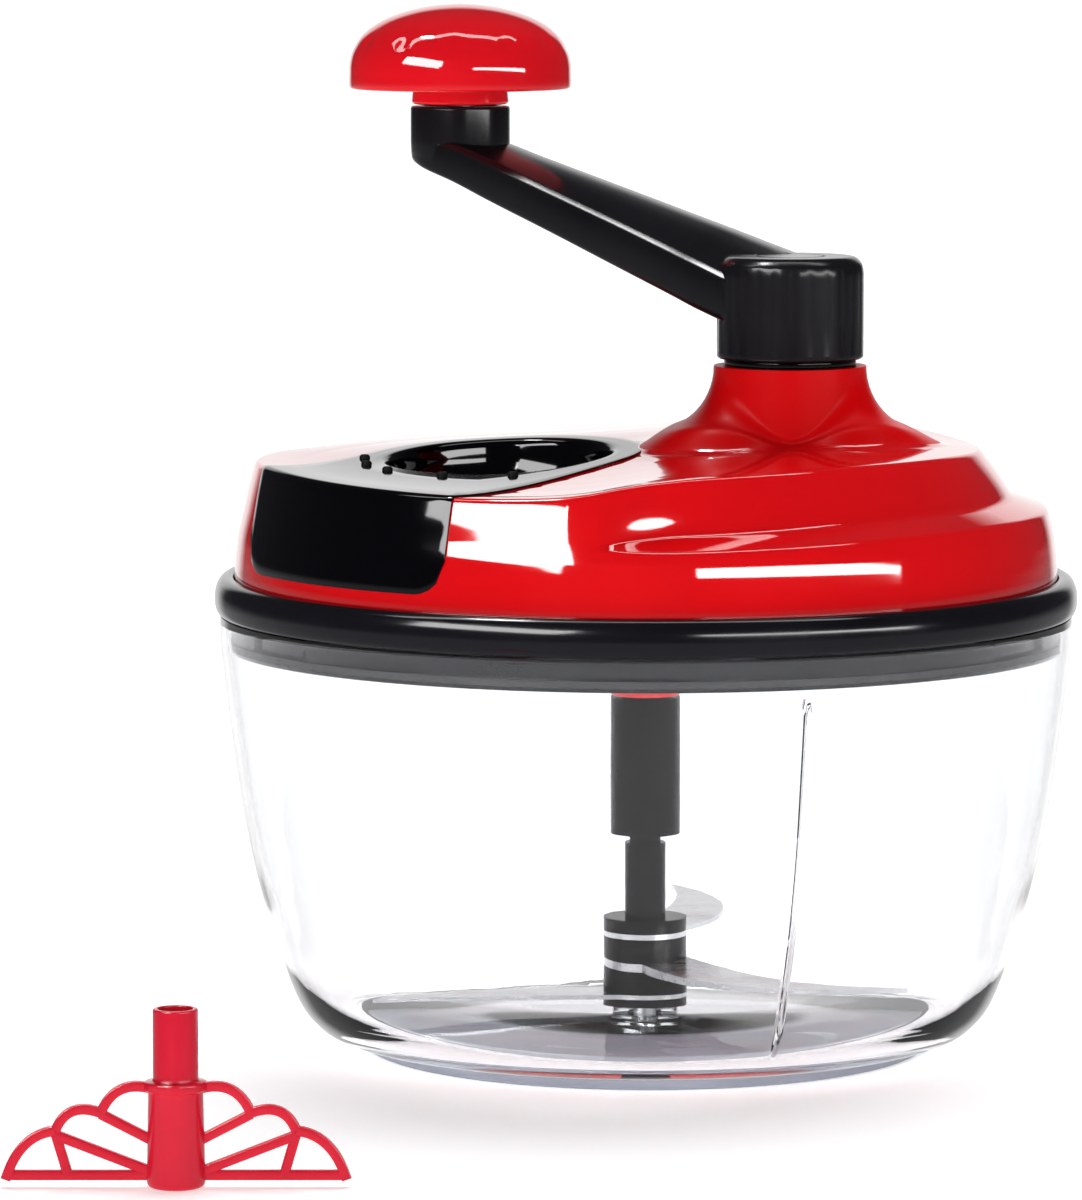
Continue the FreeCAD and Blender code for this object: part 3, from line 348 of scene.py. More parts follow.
bowlLook = {
    "steps": 168, "curveSteps": 4,
    # height and radius from the lip down, then from the floor up
    "outside": [(94.0, 91.9), (87.0, 91.7), (79.5, 90.9), (66.0, 89.2), (52.0, 87.2), (38.0, 84.3),
                (29.0, 81.9), (22.0, 79.5), (15.5, 77.5), (9.5, 74.9), (6.0, 72.2), (4.0, 69.6), (3.0, 66.4)],
    "inside": [(6.0, 62.0), (6.6, 66.8), (8.4, 70.0), (12.0, 73.3), (17.0, 75.9), (23.0, 77.7), (30.0, 79.8),
               (39.0, 82.3), (52.0, 85.0), (66.0, 87.0), (79.5, 88.7), (87.0, 89.5), (93.2, 89.7)],
    # radius and height of the underside, the lip and the boss round the pivot pin
    "under": [(0.0, 4.0), (30.0, 4.0), (61.6, 4.0), (62.2, 3.6), (62.6, 3.0), (66.0, 3.0)],
    "lip": [(91.75, 94.0), (91.2, 94.0), (90.4, 94.0)],
    "boss": [(7.6, 6.0), (7.1, 6.3), (7.0, 8.6), (6.6, 9.0), (2.6, 9.0), (2.6, 5.0), (0.0, 5.0)],
    # the rib stands on the inside of the wall; angles and breadth in degrees
    "ribAngle": -69.3, "ribSpread": 0.45, "ribDepth": 2.4, "ribFoot": 9.0, "ribRise": 8, "ribTop": 84.5,
    "ribEnd": 1.0, "ribColumns": (-1.0, -0.7, -0.5, -0.3, 0.0, 0.3, 0.5, 0.7, 1.0),
}
padLook = {
    "steps": 120,
    "line": [(0, 3.98), (40.0, 3.98), (61.4, 3.98), (61.9, 3.48), (62.0, 1.4), (61.5, 0.5), (60.6, 0.05),
             (59.0, 0.0), (57.5, 0.6), (50.0, 0.8), (48.6, 0.1), (47.4, 0.1), (46.0, 0.8), (20.0, 0.8),
             (0, 0.8)],
}


def makeBowl(look):
    rib = math.radians(look["ribAngle"])
    angles = [turn * step / look["steps"] for step in range(look["steps"])]
    angles += [(rib + math.radians(offset)) % turn for offset in look["ribColumns"]]
    angles = sorted(set(angles))
    outside = [(radius, height) for height, radius in curve(look["outside"], look["curveSteps"])]
    inside = [(radius, height) for height, radius in curve(look["inside"], look["curveSteps"])]
    below = look["under"] + outside[::-1] + look["lip"]
    line = below + inside[::-1] + look["boss"]
    rings = []
    for row, (radius, height) in enumerate(line):
        within = len(below) <= row < len(below) + len(inside)
        ring = []
        for angle in angles:
            across = radius
            if within:
                near = abs((angle - rib + math.pi) % turn - math.pi)
                ridge = math.exp(-(math.degrees(near) / look["ribSpread"]) ** 4)
                ends = smooth(height, look["ribFoot"], look["ribFoot"] + look["ribRise"]) * (
                    1 - smooth(height, look["ribTop"] - look["ribEnd"], look["ribTop"]))
                across -= look["ribDepth"] * ridge * ends
            ring.append(around(across, angle, height))
        rings.append(ring)
    shape = Shape()
    shape.band(rings)
    shape.made("bowl_clear", [bowlClear], "bowl", ["bowl"], crease=50)


def makePad(look):
    pad = Shape()
    pad.lathe(look["line"], look["steps"])
    pad.made("bowl_foot", [padGrey], "bowl", ["foot_pad"])


makeBowl(bowlLook)
makePad(padLook)
print("bowl made")


# the black ring that joins the lid to the bowl

ringLook = {
    "steps": 192,
    # radius and height of the section's corners, from the skirt's foot up over the bead and back down
    "line": [(87.5, 87.0), (89.3, 87.0), (89.3, 89.2), (88.95, 89.4), (88.95, 93.4), (89.3, 93.6), (89.3, 94.2),
             (92.1, 94.2), (93.0, 95.7), (93.0, 99.6), (91.6, 102.2), (88.95, 102.2), (88.95, 98.7),
             (88.3, 98.45), (83.0, 98.45), (83.0, 96.6), (87.5, 96.6), (87.5, 87.0)],
    "bends": [0, 0.4, 0.2, 0.2, 0.2, 0.2, 0.2, 0.7, 1.6, 2.2, 1.3, 0.5, 0.3, 0.2, 0.4, 0.4, 0.6, 0],
    # middle directions in degrees, half a breadth in degrees, and the cut's section
    "windows": (-30.0, 90.0, 210.0), "windowHalf": math.degrees(10.0 / 88.4), "windowSteps": 8,
    "window": [(88.3, 89.9), (91, 89.9), (91, 92.9), (88.3, 92.9)],
}


def makeRing(look):
    shape = Shape()
    shape.lathe(bent(look["line"], look["bends"], 3), look["steps"])
    ring = shape.made("lid_ring", [ringBlack], "lid", ["rim_ring"], crease=40)
    cutter = Shape()
    half, steps = look["windowHalf"], look["windowSteps"]
    for middle in look["windows"]:
        angles = [math.radians(middle - half + 2 * half * step / steps) for step in range(steps + 1)]
        block = [[around(radius, angle, height) for radius, height in look["window"]] for angle in angles]
        cutter.band(block)
        cutter.cap(block[0])
        cutter.cap(block[-1])
    cut = cutter.made("ringCutter", [], "lid")
    modified(ring, "BOOLEAN", operation="DIFFERENCE", object=cut, solver="EXACT")
    applied(ring)
    bpy.data.objects.remove(cut)


makeRing(ringLook)
print("ring made")


# the red lid: two tiers, a plateau that rises towards the neck, and the neck itself

lidLook = {
    "steps": 240, "foot": 98.5, "footRadius": 88.7,
    "side": [(100.2, 88.75), (103.5, 88.7), (107.0, 88.4), (110.5, 88.0), (113.0, 87.55)],  # height, radius
    # the two tiers run into one wall around this direction, and a ledge parts them elsewhere
    "joined": -147.0, "joinedHalf": 50.0, "tip": 11.5, "tipPower": 1.7, "tipHeight": 116.2, "tipHalf": 0.6,
    "shoulderSlope": 0.28, "shoulderLow": 115.1, "shoulderHigh": 117.0, "liftFrom": 50, "liftTo": 108,
    "ledgeRadius": 78.8, "ledgeRise": 2.7, "bulge": 0.12, "ledgeBulge": 0.2,
    # direction in degrees, radius and height of the top tier's edge
    "edge": [(-180, 84.0, 127.3), (-163, 84.2, 127.2), (-140, 84.4, 126.2), (-120, 84.4, 125.5),
             (-106, 84.3, 125.9), (-99.5, 83.8, 126.8), (-94.5, 80.6, 128.0), (-89, 77.2, 128.8),
             (-80, 75.0, 129.6), (-60, 73.2, 130.5), (-45, 72.7, 130.6), (-28, 72.2, 130.4), (-6, 71.9, 129.7),
             (12, 71.9, 129.5), (30, 72.0, 130.4), (45, 72.1, 131.1), (62, 72.3, 130.9), (80, 72.6, 129.6),
             (92, 73.0, 128.5), (105, 73.8, 127.4), (125, 75.5, 127.1), (150, 80.5, 126.8),
             (165, 83.2, 127.0), (180, 84.0, 127.3)],
    "edgePower": 6,
    # the plateau's height between two places along x, and its broad swelling
    "plateLow": 124.7, "plateRise": 6.3, "riseFrom": -40, "riseTo": 38,
    "crown": 4.0, "crownX": -31.6, "crownY": 32.0, "crownWidth": 30.0,
    # the neck's flare is a curved skirt below a rounded shoulder, wide to both sides and narrow in front
    "neckX": 31.0, "neckRadius": 16.45, "neckTop": 147.35, "boreRadius": 6.2, "wall": 2.2,
    "flareRadius": 14.4, "flareTop": 147.2, "flareBend": 72.0, "skirtFoot": 35.0,
    "frontRadius": 1.6, "frontFoot": 20.5, "frontLift": 0.5, "skirtSteps": 10, "flareSteps": 12,
    # bends of the section's corners; the two at the ledge grow with it
    "sideRound": 0.8, "ledgeRound": 0.3, "outerGrowth": 0.7, "innerGrowth": 0.9, "wallRound": 3.0,
    "edgeRound": 1.1, "plateRound": 1.5, "neckRound": 0.1, "bendSteps": 5,
    "plateParts": (0.12, 0.26, 0.4, 0.55, 0.7, 0.85),
    "throatX": -31.6, "throatHole": 26.4, "cutFoot": 90, "cutTop": 160,
    # the dull finish ends a little inside the flare's foot
    "dullFront": 19.5, "dullSide": 32.0,
}
edgeLine = curve(lidLook["edge"], 8)


def tierEdge(angle):  # radius and height of the top tier's edge
    degrees = (math.degrees(angle) + 180) % 360 - 180
    for before, after in zip(edgeLine, edgeLine[1:]):
        if degrees <= after[0]:
            share = (degrees - before[0]) / (after[0] - before[0])
            return mixedNumber(before[1], after[1], share), mixedNumber(before[2], after[2], share)
    return edgeLine[-1][1:]


def plateau(x, y):  # height of the top tier, without the neck
    look = lidLook
    level = look["plateLow"] + look["plateRise"] * smooth(x, look["riseFrom"], look["riseTo"])
    away = (x - look["crownX"]) ** 2 + (y - look["crownY"]) ** 2
    level += look["crown"] * math.exp(-away / (2 * look["crownWidth"] ** 2))
    radius, height = tierEdge(math.atan2(y, x))
    share = min(math.hypot(x, y) / radius, 1.0)
    return mixedNumber(level, height, share ** look["edgePower"])


def fromJoined(angle):  # degrees away from the middle of the joined wall
    return math.degrees(abs((angle - math.radians(lidLook["joined"]) + math.pi) % turn - math.pi))


def ledgeShare(angle):  # 0 where there is no ledge, 1 where it is whole
    share = min(max((fromJoined(angle) - lidLook["joinedHalf"]) / lidLook["tip"], 0.0), 1.0)
    return 1 - (1 - share) ** lidLook["tipPower"]


def lidWall(angle):  # height and radius of the wall's corners from the side up to the top tier's edge
    look = lidLook
    share = ledgeShare(angle)
    lift = smooth(fromJoined(angle), look["liftFrom"], look["liftTo"])
    shoulder = mixedNumber(look["shoulderLow"], look["shoulderHigh"], lift)
    radius, height = tierEdge(angle)
    start, startRadius = look["side"][-1]

    def joined(level):
        return mixedNumber(startRadius, radius, (level - start) / (height - start))

    below, above = look["tipHeight"] - look["tipHalf"], look["tipHeight"] + look["tipHalf"]
    outer = (mixedNumber(below, shoulder, share),
             mixedNumber(joined(below), startRadius - look["shoulderSlope"] * (shoulder - start), share))
    inner = (mixedNumber(above, shoulder + look["ledgeRise"], share),
             mixedNumber(joined(above), look["ledgeRadius"], share))
    swell = look["bulge"] + look["ledgeBulge"] * share
    middle = ((inner[0] + height) / 2, (inner[1] + radius) / 2 + swell)
    return [outer, inner, middle, (height, radius)]


def lidSide(angle, height):  # radius of the lid's outer wall
    side = [(lidLook["foot"], lidLook["footRadius"])] + lidLook["side"] + lidWall(angle)
    for (low, first), (high, second) in zip(side, side[1:]):
        if height <= high:
            return mixedNumber(first, second, (height - low) / (high - low))
    return side[-1][1]


def aboutNeck(radius, angle, height):
    return Vector((lidLook["neckX"] + radius * math.cos(angle), radius * math.sin(angle), height))


def lidSection(angle):  # corners of the lid's outside from its foot to the neck, each with its bend
    look = lidLook
    share = ledgeShare(angle)
    corners = [(around(look["footRadius"], angle, look["foot"]), 0)]
    corners += [(around(radius, angle, height), look["sideRound"]) for height, radius in look["side"]]
    bends = [look["ledgeRound"] + look["outerGrowth"] * share, look["ledgeRound"] + look["innerGrowth"] * share,
             look["wallRound"], look["edgeRound"]]
    corners += [(around(radius, angle, height), bend) for (height, radius), bend in zip(lidWall(angle), bends)]
    edge = corners[-1][0]
    # the neck flares out to both sides but hardly to the front
    aside = math.cos(angle) ** 2
    radius = mixedNumber(look["frontRadius"], look["flareRadius"], aside)
    outer = mixedNumber(look["frontFoot"], look["skirtFoot"], aside)
    foot = aboutNeck(outer, angle, 0)
    foot.z = plateau(foot.x, foot.y)
    for part in look["plateParts"]:
        point = edge.lerp(foot, part)
        point.z = plateau(point.x, point.y)
        corners.append((point, look["plateRound"]))
    bend = math.radians(look["flareBend"])
    start = look["neckRadius"] + radius * (1 - math.cos(bend))
    top = mixedNumber(foot.z + look["frontLift"] + radius, look["flareTop"], aside)
    level = top - radius * math.sin(bend)
    reach = outer - start
    for step in range(look["skirtSteps"] + 1):  # the skirt between the plateau and the flare
        t = 1 - step / look["skirtSteps"]
        height = (2 * t ** 3 - 3 * t ** 2 + 1) * level + (3 * t ** 2 - 2 * t ** 3) * foot.z
        height -= (t ** 3 - 2 * t ** 2 + t) * reach / math.tan(bend)
        corners.append((aboutNeck(start + reach * t, angle, height), 0))
    for step in range(1, look["flareSteps"] + 1):
        turned = bend * (1 - step / look["flareSteps"])
        out = look["neckRadius"] + radius * (1 - math.cos(turned))
        corners.append((aboutNeck(out, angle, top - radius * math.sin(turned)), 0))
    corners.append((aboutNeck(look["neckRadius"], angle, look["neckTop"]), look["neckRound"]))
    corners.append((aboutNeck(look["boreRadius"], angle, look["neckTop"]), 0))
    points, bends = zip(*corners)
    return rounded(points, bends, look["bendSteps"])


def makeLid(look):
    columns = [lidSection(turn * step / look["steps"]) for step in range(look["steps"])]
    shape = Shape()
    shape.band([list(row) for row in zip(*columns)])
    lid = shape.made("lid_red", [redGloss, neckRed], "lid", ["lid_shell"], crease=60)
    modified(lid, "SOLIDIFY", thickness=look["wall"] * mm, offset=-1.0, use_rim=True)
    cutter = Shape()
    hole, low, high = look["throatHole"], look["cutFoot"], look["cutTop"]
    cutter.lathe([(0, low), (hole, low), (hole, high), (0, high)], 96, (look["throatX"], 0))
    cut = cutter.made("lidCutter", [], "lid")
    modified(lid, "BOOLEAN", operation="DIFFERENCE", object=cut, solver="EXACT")
    applied(lid)
    bpy.data.objects.remove(cut)
    for face in lid.data.polygons:
        x, y = face.center.x / mm - look["neckX"], face.center.y / mm
        aside = x * x / (x * x + y * y + 0.001)
        if math.hypot(x, y) < mixedNumber(look["dullFront"], look["dullSide"], aside):
            face.material_index = 1


makeLid(lidLook)
print("lid made")


# the feed chute: a plate that lies on the lid, folds down its side and opens into a throat

chuteLook = {
    "x": -31.6, "azimuth": -121.5, "half": 31.0, "proud": 0.5, "foot": 105.6, "cornerRound": 7.0,
    "mouth": 25.2, "throat": 20.7, "thick": 1.3, "edgeRound": 0.28,
    "reach": 140.0,  # further than the plate goes in its own direction
    "foldSteps": 36, "foldBends": 6, "fallSteps": 10, "sideSteps": 12, "roundSteps": 40,
    "throatLevels": (88.2, 100.0, 112.0), "throatEdge": (0.4, 12.0),  # beyond the throat, below the plate
    # beyond the mouth's radius and below the plate, from the throat's end outwards
    "mouthEdge": [(-1.6, 7.0), (-1.1, 3.5), (-1.0, 1.6), (-0.75, 0.7), (-0.3, 0.2), (0.3, 0.0)],
    "plateShares": (0.25, 0.5, 0.75, 1.0),
}
studLook = {
    "azimuths": (-84, -114, -144, -166, 173), "reach": 29.3,
    "line": [(0, -0.6), (1.15, -0.6), (1.15, 0.4), (0.805, 0.8), (0, 0.9)],  # radius, height above the plate
}


def onPlate(look, along, across, height=0.0):
    bearing = math.radians(look["azimuth"])
    x = look["x"] + along * math.cos(bearing) - across * math.sin(bearing)
    y = along * math.sin(bearing) + across * math.cos(bearing)
    return Vector((x, y, height))


def wallReach(look, across, radiusAt):  # how far along the plate a wall is met; radiusAt takes an angle
    low, high = 0.0, look["reach"]
    for _ in range(40):
        middle = (low + high) / 2
        point = onPlate(look, middle, across)
        if math.hypot(point.x, point.y) < radiusAt(math.atan2(point.y, point.x)):
            low = middle
        else:
            high = middle
    return low


def outward(point):
    return Vector((point.x, point.y, 0)).normalized()


def wallPoint(look, across, height):  # where a line across the plate meets the lid's side
    along = wallReach(look, across, lambda angle: lidSide(angle, height))
    point = onPlate(look, along, across, height)
    return point + outward(point) * look["proud"]


def foldPoints(look, across):  # the rounded edge between the plate's top and its front
    along = wallReach(look, across, lambda angle: tierEdge(angle)[0])
    corner = onPlate(look, along, across)
    out = outward(corner)
    back = lidLook["edgeRound"] / max(out.dot(onPlate(look, 1, 0) - onPlate(look, 0, 0)), 0.3)
    corner.z = plateau(corner.x, corner.y)
    first = onPlate(look, along - back, across)
    first.z = plateau(first.x, first.y)
    second = wallPoint(look, across, corner.z - lidLook["edgeRound"])
    lift = Vector((0, 0, look["proud"]))
    return first + lift, corner + lift + out * look["proud"], second


def makeChute(look):
    half, mouth, proud = look["half"], look["mouth"], look["proud"]
    foldSteps, fallSteps, sideSteps = look["foldSteps"], look["fallSteps"], look["sideSteps"]
    spread = [-half + 2 * half * step / foldSteps for step in range(foldSteps + 1)]
    folds = [foldPoints(look, across) for across in spread]
    # the rim runs along the fold, up one side, round the back and down the other side
    rim = [first.copy() for first, _, _ in folds]
    leftEnd, rightEnd = rim[0], rim[-1]
    leftTurn, rightTurn = onPlate(look, 0, -half), onPlate(look, 0, half)
    rim += [rightEnd.lerp(rightTurn, step / sideSteps) for step in range(1, sideSteps)]
    for step in range(look["roundSteps"] + 1):
        bend = math.pi * step / look["roundSteps"]
        rim.append(onPlate(look, -half * math.sin(bend), half * math.cos(bend)))
    rim += [leftTurn.lerp(leftEnd, step / sideSteps) for step in range(1, sideSteps)]
    for point in rim:
        point.z = plateau(point.x, point.y) + proud
    centre = onPlate(look, 0, 0)
    ways = [outward(point - centre) for point in rim]

    def ringAt(radius, drop=0.0, height=None):
        ring = []
        for way in ways:
            point = centre + way * radius
            point.z = height if height is not None else plateau(point.x, point.y) + proud - drop
            ring.append(point)
        return ring

    throat = look["throat"]
    rings = [ringAt(throat, height=height) for height in look["throatLevels"]]
    rings.append(ringAt(throat + look["throatEdge"][0], look["throatEdge"][1]))
    rings += [ringAt(mouth + beyond, drop) for beyond, drop in look["mouthEdge"]]
    mouthRing = rings[-1]
    for share in look["plateShares"]:
        ring = [inner.lerp(outer, share) for inner, outer in zip(mouthRing, rim)]
        for point in ring:
            point.z = plateau(point.x, point.y) + proud
        rings.append(ring)
    shape = Shape()
    shape.band(rings)
    rows = []
    for across, (first, corner, second) in zip(spread, folds):
        line = []
        for bend in range(look["foldBends"] + 1):
            share = bend / look["foldBends"]
            line.append(first.lerp(corner, share).lerp(corner.lerp(second, share), share))
        inset = max(abs(across) - (half - look["cornerRound"]), 0)
        low = look["foot"] + look["cornerRound"] - math.sqrt(max(look["cornerRound"] ** 2 - inset ** 2, 0))
        line += [wallPoint(look, across, mixedNumber(second.z, low, fall / fallSteps))
                 for fall in range(1, fallSteps + 1)]
        rows.append(line)
    shape.band([list(row) for row in zip(*rows)], closed=False)
    chute = shape.made("feed_plate", [blackGloss], "lid", ["feed_chute"], crease=45)
    modified(chute, "SOLIDIFY", thickness=look["thick"] * mm, offset=-1.0, use_rim=True)
    modified(chute, "BEVEL", width=look["edgeRound"] * mm, segments=2, limit_method="ANGLE",
             angle_limit=math.radians(50))
    applied(chute)
    chute.data.shade_smooth()
    chute.data.set_sharp_from_angle(angle=math.radians(40))


def makeStuds(look):
    studs = Shape()
    for azimuth in look["azimuths"]:
        bearing = math.radians(azimuth)
        x = chuteLook["x"] + look["reach"] * math.cos(bearing)
        y = look["reach"] * math.sin(bearing)
        top = plateau(x, y) + chuteLook["proud"]
        studs.lathe([(radius, top + height) for radius, height in look["line"]], 16, (x, y))
    studs.made("feed_studs", [dullBlack], "lid", crease=60)


makeChute(chuteLook)
makeStuds(studLook)
print("chute made")


# crank arm, its hub, the boss that carries the knob, and the collar below the hub

armLook = {
    "hubX": 31.0, "hubFoot": 148.9, "azimuth": 140.0, "length": 93.5,
    "hubRadius": 15.8, "hubHeight": 22.0,
    # fine flutes on the hub's outermost wall fade in above its foot and out below its top
    "flutes": 26, "fluteDepth": 0.14, "fluteWall": 2.2, "fluteFoot": (1.2, 2.4), "fluteTop": (4.0, 1.2),
    "bossRadius": 11.1, "bossFoot": 39.6, "bossTop": 52.1,
    "collarBore": 8, "collarRadius": 14.3, "collarFoot": 147.4, "collarTop": 148.85, "collarSteps": 96,
    # distance, half width, then bottom, front ridge and back ridge above the hub's foot
    "stations": [
        (-6.0, 13.4, 6.2, 15.0, 20.4), (4.0, 14.5, 7.2, 17.6, 22.0), (14.0, 14.3, 10.0, 20.9, 24.6),
        (24.0, 13.5, 13.4, 24.1, 27.5), (40.0, 12.6, 18.9, 29.3, 31.9), (58.0, 11.8, 25.2, 35.0, 36.8),
        (76.0, 11.2, 31.4, 40.8, 41.6), (87.0, 10.9, 35.4, 44.2, 44.6), (95.5, 10.6, 38.0, 45.3, 45.5),
        (100.5, 8.4, 39.4, 45.3, 45.5), (103.1, 5.4, 40.2, 45.0, 45.2)],
}


def armPlace(look, along, across, up):
    bearing = math.radians(look["azimuth"])
    return Vector((look["hubX"] + along * math.cos(bearing) - across * math.sin(bearing),
                   along * math.sin(bearing) + across * math.cos(bearing), look["hubFoot"] + up))


def armSection(half, bottom, front, back):  # across and up; the front ridge is crisp, the top is crowned
    crest = max(front, back) + 0.2
    corners = [(-half, bottom), (half, bottom), (half, front - 1.2), (half - 1.3, front),
               (half * 0.35, mixedNumber(front, crest, 0.75)), (-half * 0.45, crest), (-half, back - 1.6)]
    line = rounded([Vector((x, y, 0)) for x, y in corners + [corners[0], corners[1]]],
                   [0, 2.0, 0.4, 0.4, 4.0, 4.0, 2.0, 2.0, 0], 4)
    return line[1:-1]


def makeBeam(look):
    rings = []
    for along, half, bottom, front, back in curve(look["stations"], 5):
        rings.append([armPlace(look, along, p.x, p.y) for p in armSection(half, bottom, front, back)])
    shape = Shape()
    shape.band(rings)
    shape.cap(rings[0])
    shape.cap(rings[-1][::-1])
    return shape.made("crank_beam", [satinBlack], "crank", ["crank_arm"], crease=45)


def makeHub(look):
    foot, wide = look["hubFoot"], look["hubRadius"]
    top = foot + look["hubHeight"]

    (start, whole), (fading, end) = look["fluteFoot"], look["fluteTop"]

    def fluted(radius, level, angle):
        if radius < wide - look["fluteWall"] or level < foot + start:
            return radius
        fade = smooth(level, foot + start, foot + whole) * (1 - smooth(level, top - fading, top - end))
        return radius - look["fluteDepth"] * fade * (0.5 - 0.5 * math.cos(look["flutes"] * angle)) ** 3

    line = bent(
        [(0, foot), (wide - 0.4, foot), (wide, foot + 0.4), (wide, foot + 1.4), (wide, foot + 8),
         (wide, foot + 14), (wide, top - 3.6), (wide - 0.13, top - 2.5), (wide - 0.36, top - 1.6),
         (wide - 1.8, top), (7.6, top), (7.2, top - 0.5), (0, top - 0.5)],
        [0, 0.2, 0.2, 0.1, 0.1, 0.1, 0.6, 0.5, 0.6, 1.2, 0.25, 0.2, 0], 5)
    hub = Shape()
    hub.lathe(line, 208, (look["hubX"], 0), reach=fluted)
    return hub.made("crank_hub", [satinBlack], "crank", crease=45)


def makeBoss(look):  # the round end that carries the knob
    tip = armPlace(look, look["length"], 0, 0)
    base, low, top, wide = look["hubFoot"], look["bossFoot"], look["bossTop"], look["bossRadius"]
    wall = bent(
        [(wide - 2.6, low), (wide - 0.2, low + 0.6), (wide, 44.0), (wide, top), (8.6, top), (8.2, top - 0.5)],
        [0, 1.8, 0.6, 0.7, 0.3, 0], 5)
    line = [(0, base + low)] + [(radius, base + level) for radius, level in wall] + [(0, base + top - 0.5)]
    boss = Shape()
    boss.lathe(line, 96, (tip.x, tip.y))
    return boss.made("crank_boss", [satinBlack], "crank", crease=45)


def makeCollar(look):
    bore, wide, low, high = look["collarBore"], look["collarRadius"], look["collarFoot"], look["collarTop"]
    steps, x = look["collarSteps"], look["hubX"]
    line = bent([(bore, low), (wide, low), (wide, high), (bore, high)], [0, 0.4, 0.4, 0], 4)
    collar = Shape()
    collar.lathe(line, steps, (x, 0))
    for height, order in ((high, 1), (low, -1)):
        angles = [turn * step / steps for step in range(steps)]
        collar.cap([Vector((x + bore * math.cos(a), bore * math.sin(a), height)) for a in angles][::order])
    collar.made("crank_collar", [blackGloss], "crank", ["hub_washer"], crease=40)


def makeArm(look):
    beam = makeBeam(look)
    for other in (makeHub(look), makeBoss(look)):
        modified(beam, "BOOLEAN", operation="UNION", object=other, solver="EXACT")
        applied(beam)
        bpy.data.objects.remove(other)
    beam.data.shade_smooth()
    beam.data.set_sharp_from_angle(angle=math.radians(38))


makeArm(armLook)
makeCollar(armLook)
print("arm made")


# the mushroom knob

knobLook = {
    "foot": 201.35, "neckRadius": 10.9, "brim": 204.7, "top": 223.75, "steps": 180,
    "dome": [(0.2, 24.5), (0.8, 24.78), (3.0, 24.8), (6.2, 24.65), (9.4, 23.8), (12.9, 21.6), (16.0, 17.4),
             (18.2, 12.0), (19.5, 6.0), (20.0, 0.0)],  # height above the brim, radius
    "dimples": 12, "dimpleFrom": -93.0, "dimpleLevel": 10.6, "dimpleSize": 2.0, "dimpleDepth": 0.42,
    "dimpleFall": 1.1, "plainHeight": 4, "plainRadius": 12,  # no dents below this height or inside this radius
}


def makeKnob(look):
    pin = armPlace(armLook, armLook["length"], 0, 0)
    scale = (look["top"] - look["brim"]) / look["dome"][-1][0]
    dome = [(radius, look["brim"] + height * scale) for height, radius in curve(look["dome"], 6)]
    foot, neck, brim = look["foot"], look["neckRadius"], look["brim"]
    under = bent(
        [(0, foot), (neck - 0.5, foot), (neck, foot + 0.4), (neck - 0.3, brim + 0.4), (neck + 3.0, brim + 1.0),
         (19.0, brim + 1.0), (21.6, brim + 0.9), (22.6, brim), (23.6, brim)],
        [0, 0.3, 0.3, 1.0, 1.0, 1.0, 0.5, 0.4, 0], 4)

    def dented(radius, level, angle):  # a ring of soft finger dents
        if level < brim + look["plainHeight"] or radius < look["plainRadius"]:
            return radius
        step = turn / look["dimples"]
        off = (angle - math.radians(look["dimpleFrom"]) + step / 2) % step - step / 2
        across = off * radius / look["dimpleSize"]
        rise = (level - brim - look["dimpleLevel"]) / look["dimpleSize"]
        return radius - look["dimpleDepth"] * math.exp(-(across ** 2 + rise ** 2) * look["dimpleFall"])

    shape = Shape()
    shape.lathe(under + dome, look["steps"], (pin.x, pin.y), reach=dented)
    shape.made("knob_cap", [knobRed], "knob", ["knob_base", "knob_dome"], crease=50)


makeKnob(knobLook)
print("knob made")


# the whisk paddle that stands in front of the bowl

whiskLook = {
    "x": -93.2, "y": -166.0, "depth": 1.05, "width": 0.98, "inset": 0.03,
    "hub": 5.75, "hubNeck": 5.35, "hubTop": 19.0, "collar": 6.1, "collarTop": 20.8, "tube": 4.4, "top": 35.0,
    "socket": 3.35, "socketFoot": 19.2, "bore": 2.6,
    "scallops": [(5.2, 20.4), (15.2, 15.3), (24.2, 11.5), (34.0, 1.6)], "bulge": 2.1, "lean": 0.5,
    "struts": [((4.6, 9.2), (14.6, 14.4)), ((4.6, 3.0), (23.4, 10.3)), ((23.2, 10.2), (20.9, 2.4)),
               ((4.6, 2.4), (33.0, 2.4))],
    "scallopSteps": 12, "strutSteps": 6,
}


